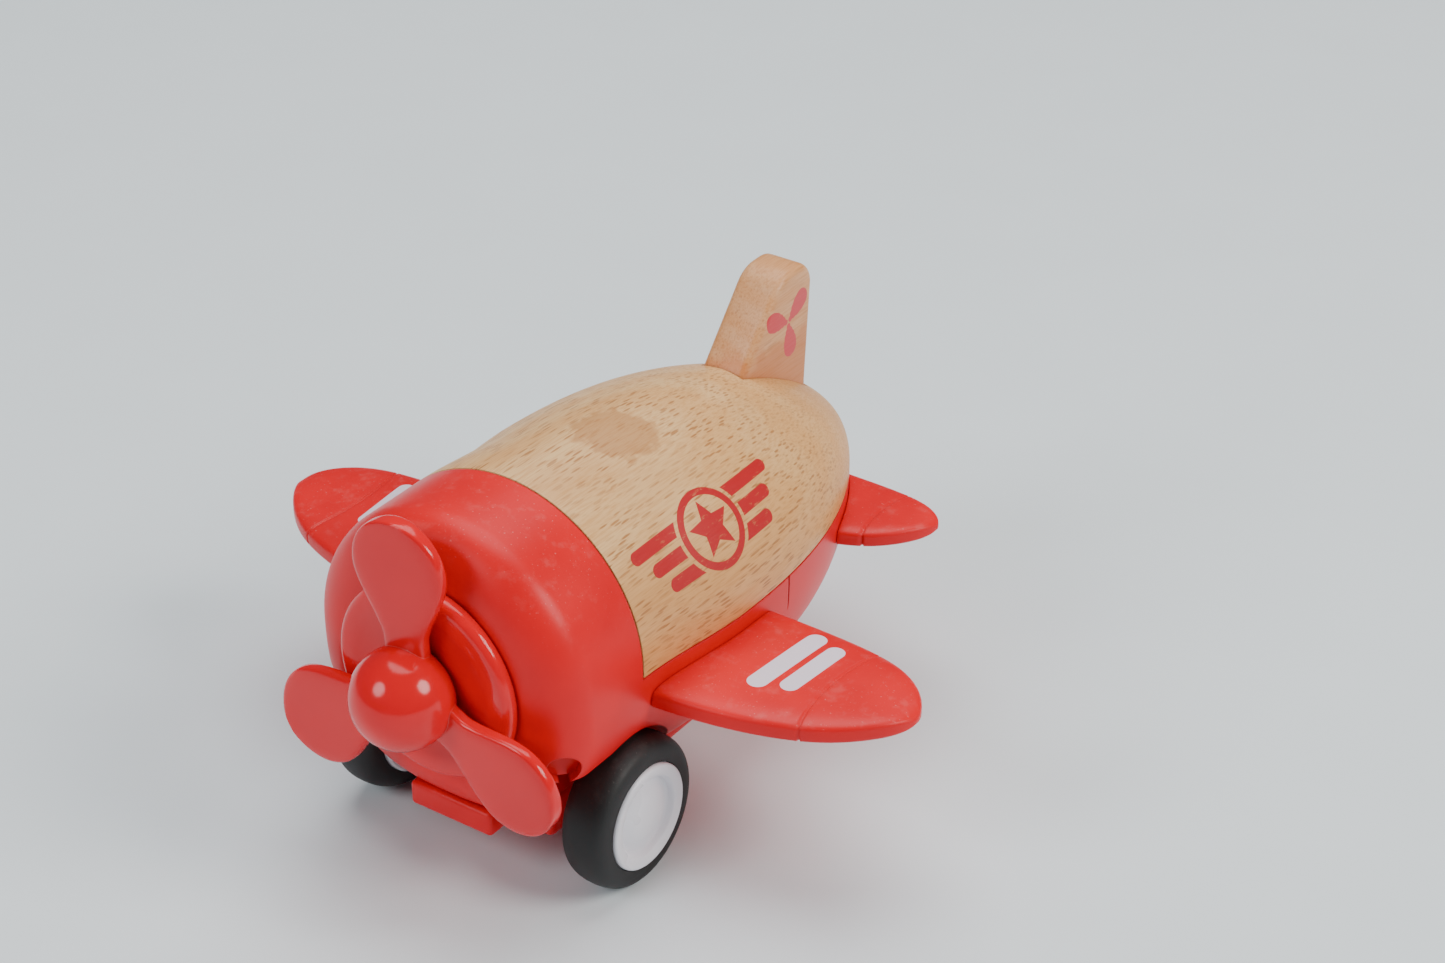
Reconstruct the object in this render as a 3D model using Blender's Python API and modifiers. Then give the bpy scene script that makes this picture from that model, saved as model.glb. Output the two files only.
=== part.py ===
"""A pull-back toy airplane: red plastic cowl and tub, turned beech upper body and fin, plug-in wings,
a free-spinning propeller, two driven front wheels on a spring motor and a small tail wheel.

Metres, +Z up, nose towards -Y, port side at +X. The origin is on the ground under the middle of the toy.
"""

import math

import bmesh
import bpy
from mathutils import Matrix, Vector

MM = 0.001
GAP = 0.3 * MM  # between touching pieces
SHAFT_GAP = 0.3 * MM  # radial, between a shaft and its hole
X, Y, Z = Vector((1, 0, 0)), Vector((0, 1, 0)), Vector((0, 0, 1))

# Fuselage
LENGTH = 112.6 * MM  # spinner tip to tail
NOSE_Y = -LENGTH / 2
TAIL_Y = LENGTH / 2
AXIS_Z = 36.3 * MM  # height of the propeller axis
COWL_R = 24.1 * MM
COWL_LIP_R = 16.0 * MM  # flat ring on the cowl's face
COWL_ROUND = 6.5 * MM  # length of the cowl's rounded front
COWL_Y = NOSE_Y + 14.3 * MM
SEAM_Y = COWL_Y + 18.0 * MM  # cowl to wood
SEAM_Z = 34.6 * MM  # wood to tub
BODY_HALF_WIDTH = 26.42 * MM
BODY_WIDEST_Y = SEAM_Y + 23.5 * MM
BODY_CROWN = 1.72  # roundness of the upper section: 2 is an ellipse
WALL = 2.0 * MM
TAIL_CUT = 0.02 * MM  # the rounded tail ends this far short of its point

# Propeller and nose disc
PROP_R = 28.0 * MM
BLADE_WIDTH = 15.6 * MM
BLADE_NECK = 7.0 * MM
BLADE_THICK = 2.6 * MM
BLADE_PITCH = math.radians(-2.5)
PROP_REST = math.radians(2.5)  # how far the propeller is turned at rest
SPINNER_R = 7.8 * MM
SPINNER_Y = NOSE_Y + SPINNER_R
PROP_Y = SPINNER_Y + 2.1 * MM
DISC_R = 15.7 * MM
DISC_THICK = 2.1 * MM
DISC_ROUND = 1.4 * MM
DISC_SPIGOT_R = 9.0 * MM
DISC_SPIGOT = 3.0 * MM
DISC_FRONT_Y = COWL_Y - GAP - DISC_THICK
PROP_BACK_Y = DISC_FRONT_Y - 0.4 * MM
SHAFT_R = 1.25 * MM
SHAFT_IN_PROP = 5.0 * MM
BUSH_R = 2.8 * MM
BUSH_LENGTH = 9.0 * MM
COLLAR_R = 2.4 * MM
COLLAR_THICK = 1.5 * MM
SHAFT_TAIL = 1.5 * MM  # shaft beyond the collar

# Front wheels
AXLE_Y = COWL_Y + 16.3 * MM
TYRE_R = 12.1 * MM
AXLE_Z = TYRE_R
AXLE_R = 1.25 * MM
HUB_R = TYRE_R - 3.7 * MM
TYRE_X = (17.6 * MM, 25.7 * MM)
HUB_X = (16.8 * MM, 26.2 * MM)
AXLE_HALF = HUB_X[1] - 3.4 * MM
HUB_DOME = ((0.0, 0.0), (2.4, -0.1), (4.2, -0.5), (5.3, -1.1), (5.9, -1.25), (6.5, -0.9))  # radius, height

# Wheel wells and belly tray
WELL_X = 14.2 * MM
SKIRT_Z = AXLE_Z + 12.4 * MM
WELL_R = TYRE_R + 0.9 * MM
TRAY_HALF_WIDTH = 13.7 * MM
TRAY_Y = (COWL_Y + 8.8 * MM, AXLE_Y + 30.5 * MM)
TRAY_Z = (AXLE_Z - 4.9 * MM, AXLE_Z + 2.6 * MM)
TRAY_ROUND = 1.2 * MM
BELLY_CUT = 1.4  # the belly opening passes through at least this many wall thicknesses
TRAY_FLOOR = 1.2 * MM
TRAY_WALL = 1.6 * MM
BUMPER_HALF_WIDTH = 7.6 * MM
BUMPER_Y = COWL_Y + 2.1 * MM
BUMPER_Z = (TRAY_Z[0] + 1.9 * MM, TRAY_Z[0] + 6.0 * MM)
BUMPER_ROUND = 0.7 * MM
CORNER_HOLE_R = 2.5 * MM  # blind hole at each lower front corner of the cowl
# The middle of its floor
CORNER_HOLE_AT = Vector((COWL_R - 4.4 * MM, COWL_Y + 4.3 * MM, AXIS_Z - 9.4 * MM))
CORNER_HOLE_DEPTH = 9.0 * MM
CORNER_BACKING = 1.4 * MM

# Wings and tailplanes: span station, leading edge, trailing edge and thickness, all from the values below
WING_TIP_X = 58.3 * MM  # half the span
WING_ROOT_X = 20.0 * MM
WING_LEAD_Y = SEAM_Y + 2.0 * MM
WING_TRAIL_Y = SEAM_Y + 29.9 * MM
WING_TIP_Y = SEAM_Y + 19.4 * MM
WING_Z = 29.9 * MM
WING_THICK = 4.4 * MM
STAB_TIP_X = 33.5 * MM
STAB_ROOT_X = 10.0 * MM
STAB_LEAD_Y = TAIL_Y - 28.8 * MM
STAB_TRAIL_Y = TAIL_Y - 10.3 * MM
STAB_TIP_Y = TAIL_Y - 14.8 * MM
STAB_Z = 30.1 * MM
STAB_THICK = 3.6 * MM
LEAD_FALL = (2.0, 1.6)  # how an edge closes on the tip: the powers of its curve
TRAIL_FALL = (4.7, 1.65)
TAB_X = 5.0 * MM  # how far a plug-in tab reaches through the tub's wall
TAB_THICK = 1.8 * MM
WING_TAB_Y = (SEAM_Y + 15.0 * MM, SEAM_Y + 23.0 * MM)
STAB_TAB_Y = (TAIL_Y - 21.8 * MM, TAIL_Y - 15.8 * MM)

# Fin
FIN_THICK = 8.0 * MM
FIN_TOP_Z = 65.6 * MM
FIN_ROOT_Z = AXIS_Z + 3.7 * MM
FIN_TENON_Y = TAIL_Y - 26.1 * MM
FIN_KNEE_Z = FIN_TOP_Z - 13.2 * MM
FIN_REAR_Y = TAIL_Y - 7.7 * MM
FIN_LEAN = 2.2 * MM  # how much further back the fin is at its top
FIN_CROWN_Y = TAIL_Y - 14.7 * MM
FIN_FRONT_ROUND = 6.0 * MM
FIN_REAR_ROUND = 4.0 * MM
FIN_EDGE = 0.8 * MM

# Tail wheel
TAIL_WHEEL_Y = TAIL_Y - 20.3 * MM
TAIL_WHEEL_R = 5.6 * MM
TAIL_WHEEL_WIDTH = 6.0 * MM
TAIL_PIN_R = 1.0 * MM
TAIL_WHEEL_ROUND = 0.8 * MM
TAIL_WHEEL_ROOM = 0.9 * MM
BRACKET_LOW = 2.6 * MM  # below the pin
BRACKET_HIGH = 10.0 * MM  # its top before the tub is cleared, below the propeller axis
BRACKET_ROUND = 1.0 * MM
BRACKET_BOSS = (3.0 * MM, 8.0 * MM)  # radius and height inside the tub
BRACKET_SCREW = 8.0 * MM
BRACKET_HALF_WIDTH = 5.4 * MM
BRACKET_HALF_LENGTH = 6.5 * MM
CHEEK = 1.8 * MM

# Screws
SCREW_R = 1.0 * MM
SCREW_HEAD_R = 2.0 * MM
SCREW_HEAD = 1.4 * MM
POST_R = 3.8 * MM
POST_YS = (TAIL_Y - 44.3 * MM, TAIL_Y - 29.3 * MM)
POST_WEB = 3.0 * MM  # left over the screw head in a post
POST_SCREW = 14.0 * MM
TRAY_SCREW = 9.0 * MM
TRAY_SCREW_X = TRAY_HALF_WIDTH - 2.8 * MM
TRAY_SCREW_YS = (TRAY_Y[0] + 3.4 * MM, TRAY_Y[1] - 3.4 * MM)
BOSS_R = 2.4 * MM
BOSS_TOP_Z = AXLE_Z + 11.9 * MM
BOSS_HOLE_TOP_Z = BOSS_TOP_Z - 4.0 * MM

# Spring motor: module, teeth and face places of its gears
MODULE = 0.5 * MM
PRESSURE = math.radians(25)
BACKLASH = 0.12 * MM
CENTRE_PLAY = 0.06 * MM
PINION_TEETH = 12
IDLER_TEETH = 30
BARREL_TEETH = 32
MESH_1_X = (-5.4 * MM, -3.2 * MM)
MESH_2_X = (-2.6 * MM, -0.4 * MM)
DRUM_X = (-0.4 * MM, 5.4 * MM)
DRUM_R = 7.2 * MM
DRUM_WALL = 0.9 * MM
IDLER_ANGLE = math.radians(52)
BARREL_ANGLE = math.radians(2)
PIN_R = 0.9 * MM
SPRING_THICK = 0.4 * MM
SPRING_TURNS = 4
SPRING_R = (2.0 * MM, 5.7 * MM)
CASE_HALF_WIDTH = 8.2 * MM
CASE_WALL = 1.2 * MM
CASE_Y = (AXLE_Y - 4.9 * MM, AXLE_Y + 27.9 * MM)
CASE_Z = (AXLE_Z - 2.7 * MM, AXLE_Z + 19.5 * MM)
THROUGH = 20 * MM  # half the length of a cutter that passes right through a motor piece
FAR = 10 * MM  # how far other cutters reach past what they cut

RED = (0.72, 0.035, 0.028)
GLOSS_RED = (0.75, 0.03, 0.025)
BEECH = (0.66, 0.43, 0.24)
WHITE = (0.85, 0.84, 0.87)
RUBBER = (0.02, 0.02, 0.02)
STEEL = (0.55, 0.55, 0.57)
GREY = (0.25, 0.26, 0.28)
NYLON = (0.8, 0.78, 0.7)


# ---------------------------------------------------------------- scene and helpers

for old in list(bpy.data.objects):
    bpy.data.objects.remove(old, do_unlink=True)


def collection(name):
    made = bpy.data.collections.new(name)
    bpy.context.scene.collection.children.link(made)
    return made


PARTS = collection("toy_airplane")
CUTTERS = collection("cutters")


def material(name, colour, roughness=0.4, metallic=0.0):
    made = bpy.data.materials.new(name)
    made.use_nodes = True
    shader = made.node_tree.nodes["Principled BSDF"]
    shader.inputs["Base Color"].default_value = (*colour, 1)
    shader.inputs["Roughness"].default_value = roughness
    shader.inputs["Metallic"].default_value = metallic
    made.diffuse_color = (*colour, 1)
    return made


def place(name, mesh, home=PARTS, mat=None, origin=None):
    """An object whose mesh is already in world space, with its origin moved to a given point."""
    made = bpy.data.objects.new(name, mesh)
    if origin is not None:
        mesh.transform(Matrix.Translation(-Vector(origin)))
        made.location = origin
    home.objects.link(made)
    if mat:
        mesh.materials.clear()
        mesh.materials.append(mat)
    if home is CUTTERS:
        made.hide_render = True
        made.display_type = "WIRE"
    return made


def smooth(obj, angle=40):
    obj.data.shade_smooth()
    obj.data.set_sharp_from_angle(angle=math.radians(angle))
    return obj


def finish_mesh(bm, name):
    bmesh.ops.remove_doubles(bm, verts=bm.verts, dist=1e-6)
    bmesh.ops.recalc_face_normals(bm, faces=bm.faces)
    mesh = bpy.data.meshes.new(name)
    bm.to_mesh(mesh)
    bm.free()
    return mesh


def loft(name, rings, home=PARTS, mat=None, origin=None):
    """A closed solid through rings of equally many points."""
    bm = bmesh.new()
    rows = [[bm.verts.new(p) for p in ring] for ring in rings]
    count = len(rings[0])
    for a, b in zip(rows, rows[1:]):
        for i in range(count):
            j = (i + 1) % count
            bm.faces.new((a[i], a[j], b[j], b[i]))
    bm.faces.new(rows[0])
    bm.faces.new(rows[-1])
    return place(name, finish_mesh(bm, name), home, mat, origin)


def box(name, low, high, home=CUTTERS, mat=None, bevel=0.0):
    """A box between two corners."""
    bm = bmesh.new()
    bmesh.ops.create_cube(bm, size=1)
    low, high = Vector(low), Vector(high)
    bmesh.ops.scale(bm, vec=high - low, verts=bm.verts)
    bmesh.ops.translate(bm, vec=(low + high) / 2, verts=bm.verts)
    made = place(name, finish_mesh(bm, name), home, mat)
    if bevel:
        soften(made, bevel)
    return made


def soften(obj, width, segments=2):
    mod = obj.modifiers.new("rounded", "BEVEL")
    mod.width = width
    mod.segments = segments
    mod.limit_method = "ANGLE"
    mod.angle_limit = math.radians(40)
    return mod


def turn_to(axis):
    """The rotation that takes +Z to an axis."""
    return Vector(axis).to_track_quat("Z", "Y").to_matrix().to_4x4()


def rod(name, start, end, radius, home=CUTTERS, mat=None, segments=24):
    """A plain round bar between two points."""
    start, end = Vector(start), Vector(end)
    bm = bmesh.new()
    bmesh.ops.create_cone(
        bm, cap_ends=True, segments=segments, radius1=radius, radius2=radius, depth=(end - start).length
    )
    bm.transform(Matrix.Translation((start + end) / 2) @ turn_to(end - start))
    return smooth(place(name, finish_mesh(bm, name), home, mat, origin=start))


def turned(name, profile, at, axis, home=PARTS, mat=None, steps=40, ring=False):
    """A turned piece: (radius, height) points from the top of its axis down its outer side."""
    mesh = bpy.data.meshes.new(name)
    edges = [(i, i + 1) for i in range(len(profile) - 1)]
    if ring:
        edges.append((len(profile) - 1, 0))
    mesh.from_pydata([(r, 0, h) for r, h in profile], edges, [])
    guide = bpy.data.objects.new(name, mesh)
    CUTTERS.objects.link(guide)
    screw = guide.modifiers.new("turned", "SCREW")
    screw.steps = screw.render_steps = steps
    screw.use_merge_vertices = True
    screw.merge_threshold = 1e-5
    shape = bpy.data.meshes.new_from_object(guide.evaluated_get(bpy.context.evaluated_depsgraph_get()))
    bpy.data.objects.remove(guide, do_unlink=True)
    shape.name = name
    shape.transform(Matrix.Translation(Vector(at)) @ turn_to(axis))
    bm = bmesh.new()
    bm.from_mesh(shape)
    return smooth(place(name, finish_mesh(bm, name), home, mat, origin=at))


def boolean(target, cutter, operation="DIFFERENCE"):
    mod = target.modifiers.new(f"{operation.lower()}_{cutter.name}", "BOOLEAN")
    mod.operation = operation
    mod.solver = "EXACT"
    mod.object = cutter
    return target


# ---------------------------------------------------------------- fuselage form


def super_fall(t, power, close=None):
    """1 at t = 0 falling to 0 at t = 1 along a superellipse; close is the second power where it differs."""
    return max(0.0, 1 - min(1.0, max(0.0, t)) ** power) ** (1 / (close or power))


def ease(t):
    t = min(1.0, max(0.0, t))
    return t * t * (3 - 2 * t)


def cowl_radius(y):
    t = (COWL_Y + COWL_ROUND - y) / COWL_ROUND
    return COWL_LIP_R + (COWL_R - COWL_LIP_R) * super_fall(t, 2.0)


def half_width(y):
    if y <= SEAM_Y:
        return cowl_radius(y)
    if y <= BODY_WIDEST_Y:
        return COWL_R + (BODY_HALF_WIDTH - COWL_R) * ease((y - SEAM_Y) / (BODY_WIDEST_Y - SEAM_Y))
    return BODY_HALF_WIDTH * super_fall((y - BODY_WIDEST_Y) / (TAIL_Y - BODY_WIDEST_Y), 2.4, 1.49)


def top_rise(y):
    if y <= SEAM_Y:
        return cowl_radius(y)
    return COWL_R * super_fall((y - SEAM_Y) / (TAIL_Y - SEAM_Y), 2.65, 1.22)


def belly_drop(y):
    if y <= BODY_WIDEST_Y:
        return cowl_radius(y)
    return COWL_R * super_fall((y - BODY_WIDEST_Y) / (TAIL_Y - BODY_WIDEST_Y), 2.1)


def belly_power(y):
    """How square the lower half of the section is: rounder at the nose."""
    return 2.6 + 0.5 * ease((y - SEAM_Y) / (12 * MM))


def crown_power(y):
    return 2.0 + (BODY_CROWN - 2.0) * ease((y - SEAM_Y) / (15 * MM))


def section(y, inset=0.0, count=32):
    """One cross-section of the fuselage, as a ring of points."""
    wide, top, low = half_width(y) - inset, top_rise(y) - inset, belly_drop(y) - inset
    points = []
    for i in range(count):
        a = 2 * math.pi * i / count
        power = crown_power(y) if math.sin(a) >= 0 else belly_power(y)
        cx = math.copysign(abs(math.cos(a)) ** (2 / power), math.cos(a))
        cz = math.copysign(abs(math.sin(a)) ** (2 / power), math.sin(a))
        points.append((wide * cx, y, AXIS_Z + (top if cz >= 0 else low) * cz))
    return points


def fuselage(name, start, end, inset=0.0, home=CUTTERS, mat=None):
    """The fuselage form between two stations, its skin moved in by inset."""
    nose = [COWL_Y + COWL_ROUND * (1 - math.cos(math.radians(18 * i))) for i in range(6)]
    first = SEAM_Y - 0.5 * MM
    middle = [first + (BODY_WIDEST_Y - first) * i / 4 for i in range(5)]
    span = TAIL_Y - BODY_WIDEST_Y
    tail = [BODY_WIDEST_Y + span * math.sin(math.radians(9 * i)) for i in range(1, 10)]
    stations = [y for y in nose + middle + tail if start + 0.2 * MM < y < end - 0.2 * MM]
    return loft(name, [section(y, inset) for y in [start, *stations, end]], home, mat)


# ---------------------------------------------------------------- materials

red_plastic = material("red_plastic", RED, 0.42)
gloss_red = material("gloss_red_plastic", GLOSS_RED, 0.16)
red_wing = material("red_wing_plastic", RED, 0.38)
beech = material("beech", BEECH, 0.55)
fin_beech = material("fin_beech", (0.62, 0.36, 0.2), 0.6)
white_plastic = material("white_hub_plastic", WHITE, 0.25)
rubber = material("tyre_rubber", RUBBER, 0.75)
steel = material("steel", STEEL, 0.3, 1.0)
grey_plastic = material("motor_case_plastic", GREY, 0.45)
nylon = material("gear_nylon", NYLON, 0.4)
brass = material("bush_brass", (0.7, 0.5, 0.2), 0.3, 1.0)
spring_steel = material("spring_steel", (0.3, 0.32, 0.38), 0.35, 1.0)


# ---------------------------------------------------------------- tub and cowl, one moulding


def well_cutter(name, inner_x, skirt_z, radius):
    """The space of both wheel wells: open forward, arched over the wheels."""
    out = half_width(BODY_WIDEST_Y) + 10 * MM
    made = box(name, (inner_x, COWL_Y - 10 * MM, -1 * MM), (out, AXLE_Y, skirt_z))
    arch = rod(f"{name}_arch", (inner_x, AXLE_Y, AXLE_Z), (out, AXLE_Y, AXLE_Z), radius, segments=64)
    foot = box(f"{name}_foot", (inner_x, AXLE_Y - radius, -2 * MM), (out, AXLE_Y + radius, AXLE_Z))
    boolean(boolean(made, arch, "UNION"), foot, "UNION")
    mirror = made.modifiers.new("other_side", "MIRROR")
    mirror.merge_threshold = 1e-5
    return made


def corner_hole(name, side, radius, start, end):
    """A round cutter square to the cowl's lower front corner."""
    out = Vector((side, -1, 0)).normalized()
    floor = Vector((side * CORNER_HOLE_AT.x, CORNER_HOLE_AT.y, CORNER_HOLE_AT.z))
    return rod(name, floor + out * start, floor + out * end, radius)


def make_shell():
    shell = fuselage("fuselage_shell", COWL_Y, TAIL_Y - TAIL_CUT, home=PARTS, mat=red_plastic)
    hollow = fuselage("hollow", COWL_Y + WALL, TAIL_Y - 4 * MM, inset=WALL)
    boolean(hollow, well_cutter("well_skin", WELL_X - WALL, SKIRT_Z + WALL, WELL_R + WALL))
    for i, y in enumerate(POST_YS):
        floor_z = AXIS_Z - belly_drop(y) + WALL / 2
        boolean(hollow, rod(f"post_{i}", (0, y, floor_z), (0, y, SEAM_Z + FAR), POST_R))
    bosses = [(sx * TRAY_SCREW_X, y) for sx in (-1, 1) for y in TRAY_SCREW_YS]
    for i, (x, y) in enumerate(bosses):
        boolean(hollow, rod(f"boss_{i}", (x, y, 0), (x, y, BOSS_TOP_Z), BOSS_R))
    for sx in (-1, 1):
        radius = CORNER_HOLE_R + CORNER_BACKING
        backing = corner_hole(f"corner_backing_{sx}", sx, radius, -CORNER_BACKING, CORNER_HOLE_DEPTH)
        boolean(hollow, backing)
    lump_z = AXIS_Z - belly_drop(TAIL_WHEEL_Y)
    radius, height = BRACKET_BOSS
    boss = rod("bracket_boss", (0, TAIL_WHEEL_Y, lump_z), (0, TAIL_WHEEL_Y, lump_z + height), radius)
    boolean(hollow, boss)
    boolean(shell, hollow)
    reach = BODY_HALF_WIDTH + FAR
    above = box("above_tub", (-reach, SEAM_Y, SEAM_Z), (reach, TAIL_Y + FAR, AXIS_Z + COWL_R + FAR))
    boolean(shell, above)
    boolean(shell, well_cutter("well", WELL_X, SKIRT_Z, WELL_R))
    wide = WELL_X + WALL / 2
    top = max(TRAY_Z[1] + GAP, AXIS_Z - COWL_R + BELLY_CUT * WALL)
    near, far = (-wide, TRAY_Y[0] - GAP, 0), (wide, TRAY_Y[1] + GAP, top)
    boolean(shell, box("belly_opening", near, far))
    near, far = (0, COWL_Y - FAR, AXIS_Z), (0, COWL_Y + 2 * WALL, AXIS_Z)
    boolean(shell, rod("disc_seat", near, far, DISC_SPIGOT_R + GAP))
    for i, y in enumerate(POST_YS):
        boolean(shell, rod(f"post_bore_{i}", (0, y, 0), (0, y, SEAM_Z - POST_WEB), SCREW_HEAD_R + GAP))
        boolean(shell, rod(f"post_hole_{i}", (0, y, 0), (0, y, SEAM_Z + FAR), SCREW_R + GAP))
    for i, (x, y) in enumerate(bosses):
        boolean(shell, rod(f"boss_hole_{i}", (x, y, 0), (x, y, BOSS_HOLE_TOP_Z), SCREW_R + GAP))
    for sx in (-1, 1):
        boolean(shell, corner_hole(f"corner_hole_{sx}", sx, CORNER_HOLE_R, 0.0, CORNER_HOLE_DEPTH))
        boolean(shell, tab("wing_slot", sx, *WING_TAB, GAP))
        boolean(shell, tab("stab_slot", sx, *STAB_TAB, GAP))
    top_z = lump_z + height - WALL
    boolean(shell, rod("bracket_hole", (0, TAIL_WHEEL_Y, 0), (0, TAIL_WHEEL_Y, top_z), SCREW_R + GAP))
    return smooth(shell, 35)


# ---------------------------------------------------------------- wings and tailplanes


def tab(name, side, y_range, z, root_x, spread, home=CUTTERS):
    """The plug-in tab of a wing or tailplane, or its slot when spread is a gap."""
    (front, back), half = y_range, TAB_THICK / 2 + spread
    near, far = root_x - TAB_X - spread, root_x + TAB_X
    low = (side * near if side > 0 else -far, front - spread, z - half)
    high = (side * far if side > 0 else -near, back + spread, z + half)
    return box(f"{name}_{side}", low, high, home)


WING_TAB = (WING_TAB_Y, WING_Z, half_width(sum(WING_TAB_Y) / 2))
STAB_TAB = (STAB_TAB_Y, STAB_Z, half_width(sum(STAB_TAB_Y) / 2))


def surface_ring(x, front, back, z, thick, count=20, power=2.8):
    middle, half = (front + back) / 2, (back - front) / 2
    ring = []
    for i in range(count):
        a = 2 * math.pi * i / count
        cy = math.copysign(abs(math.cos(a)) ** (2 / power), math.cos(a))
        cz = math.copysign(abs(math.sin(a)) ** (2 / power), math.sin(a))
        ring.append((x, middle + half * cy, z + thick / 2 * cz))
    return ring


def flying_surface(name, side, root_x, tip_x, front, back, tip_y, z, thick, tab_place):
    """A wing or tailplane: straight at the root, rounded towards its tip, with a plug-in tab."""
    rings = []
    for i in range(9):
        t = math.sin(math.radians(11.25 * i))
        x = root_x + (tip_x - root_x) * t
        lead = tip_y + (front - tip_y) * super_fall(t, *LEAD_FALL)
        trail = tip_y + (back - tip_y) * super_fall(t, *TRAIL_FALL)
        rings.append(surface_ring(side * x, lead, trail, z, thick * (0.45 + 0.55 * super_fall(t, 2.4))))
    rings[-1] = surface_ring(side * tip_x, tip_y - 1.2 * MM, tip_y + 1.2 * MM, z, thick * 0.3)
    made = loft(name, rings, PARTS, red_wing)
    clear = fuselage(f"{name}_clearance", COWL_Y, TAIL_Y - 0.1 * MM, inset=-GAP)
    boolean(made, clear)
    boolean(made, tab(f"{name}_tab", side, *tab_place, 0.0), "UNION")
    return smooth(made, 50)


def make_wings():
    for name, side in (("wing_port", 1), ("wing_starboard", -1)):
        flying_surface(name, side, WING_ROOT_X, WING_TIP_X, WING_LEAD_Y, WING_TRAIL_Y, WING_TIP_Y,
                       WING_Z, WING_THICK, WING_TAB)
    for name, side in (("tailplane_port", 1), ("tailplane_starboard", -1)):
        flying_surface(name, side, STAB_ROOT_X, STAB_TIP_X, STAB_LEAD_Y, STAB_TRAIL_Y, STAB_TIP_Y,
                       STAB_Z, STAB_THICK, STAB_TAB)


# ---------------------------------------------------------------- wood


def fillet(before, corner, after, radius, steps=6):
    """Points of an arc that rounds one corner of an outline."""
    corner = Vector(corner)
    u, v = (Vector(before) - corner).normalized(), (Vector(after) - corner).normalized()
    half = u.angle(v) / 2
    centre = corner + (u + v).normalized() * (radius / math.sin(half))
    start = corner + u * (radius / math.tan(half)) - centre
    turn = -math.copysign(math.pi - 2 * half, u.cross(v))
    return [tuple(centre + Matrix.Rotation(turn * i / steps, 2) @ start) for i in range(steps + 1)]


def fin_outline(spread=0.0):
    """The fin's side outline in Y and Z: raked front, rounded top, leaning back, square tenon."""
    front, foot = FIN_TENON_Y - spread, FIN_ROOT_Z - spread
    rear, top = FIN_REAR_Y + spread, FIN_TOP_Z + spread
    knee = (front, FIN_KNEE_Z + spread)
    crown = (FIN_CROWN_Y - spread, top)
    tail = (rear + FIN_LEAN, top)
    first = fillet(knee, crown, tail, FIN_FRONT_ROUND)
    second = fillet(crown, tail, (rear, FIN_KNEE_Z), FIN_REAR_ROUND)
    return [(front, foot), knee, *first, *second, (rear, FIN_KNEE_Z - 8 * MM), (rear, foot)]


def fin_solid(name, spread, home, mat=None):
    half = FIN_THICK / 2 + spread
    outline = fin_outline(spread)
    return loft(name, [[(x, y, z) for y, z in outline] for x in (-half, half)], home, mat)


def make_wood():
    body = fuselage("wood_body", SEAM_Y + GAP, TAIL_Y - TAIL_CUT, home=PARTS, mat=beech)
    reach = BODY_HALF_WIDTH + FAR
    boolean(body, box("below_wood", (-reach, SEAM_Y - FAR, 0), (reach, TAIL_Y + FAR, SEAM_Z + GAP)))
    boolean(body, fin_solid("fin_slot", GAP, CUTTERS))
    for i, y in enumerate(POST_YS):
        top = SEAM_Z - POST_WEB + POST_SCREW + GAP
        boolean(body, rod(f"wood_hole_{i}", (0, y, SEAM_Z - FAR), (0, y, top), SCREW_R + GAP))
    smooth(body, 35)
    fin = fin_solid("tail_fin", 0.0, PARTS, fin_beech)
    soften(fin, FIN_EDGE)
    return body, smooth(fin, 50)


# ---------------------------------------------------------------- nose disc, bush and propeller


def arc_profile(radius, height, corner, steps=4):
    """A rounded outer edge at the top of a turned piece, down its outside."""
    turns = [math.radians(90 - 90 * i / steps) for i in range(steps + 1)]
    return [(radius - corner + corner * math.cos(a), height - corner + corner * math.sin(a)) for a in turns]


def make_disc():
    inner = BUSH_R + GAP
    profile = [(inner, DISC_THICK), *arc_profile(DISC_R, DISC_THICK, DISC_ROUND)]
    profile += [(DISC_R, 0), (DISC_SPIGOT_R, 0), (DISC_SPIGOT_R, -DISC_SPIGOT), (inner, -DISC_SPIGOT)]
    turned("nose_disc", profile, (0, COWL_Y - GAP, AXIS_Z), -Y, mat=gloss_red, steps=40, ring=True)
    bore = SHAFT_R + SHAFT_GAP
    bush = [(bore, 0), (BUSH_R, 0), (BUSH_R, -BUSH_LENGTH), (bore, -BUSH_LENGTH)]
    turned("propeller_bush", bush, (0, DISC_FRONT_Y, AXIS_Z), -Y, mat=brass, steps=24, ring=True)


def blade_half_width(r):
    """Half the blade's width at a radius: a neck, then a round paddle."""
    neck_r, wide_r = SPINNER_R + 1 * MM, PROP_R - BLADE_WIDTH / 2
    if r <= neck_r:
        return BLADE_NECK / 2
    if r <= wide_r:
        share = ease((r - neck_r) / (wide_r - neck_r)) ** 0.8
        return BLADE_NECK / 2 + (BLADE_WIDTH - BLADE_NECK) / 2 * share
    return BLADE_WIDTH / 2 * super_fall((r - wide_r) / (PROP_R - wide_r), 2.0)


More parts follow.
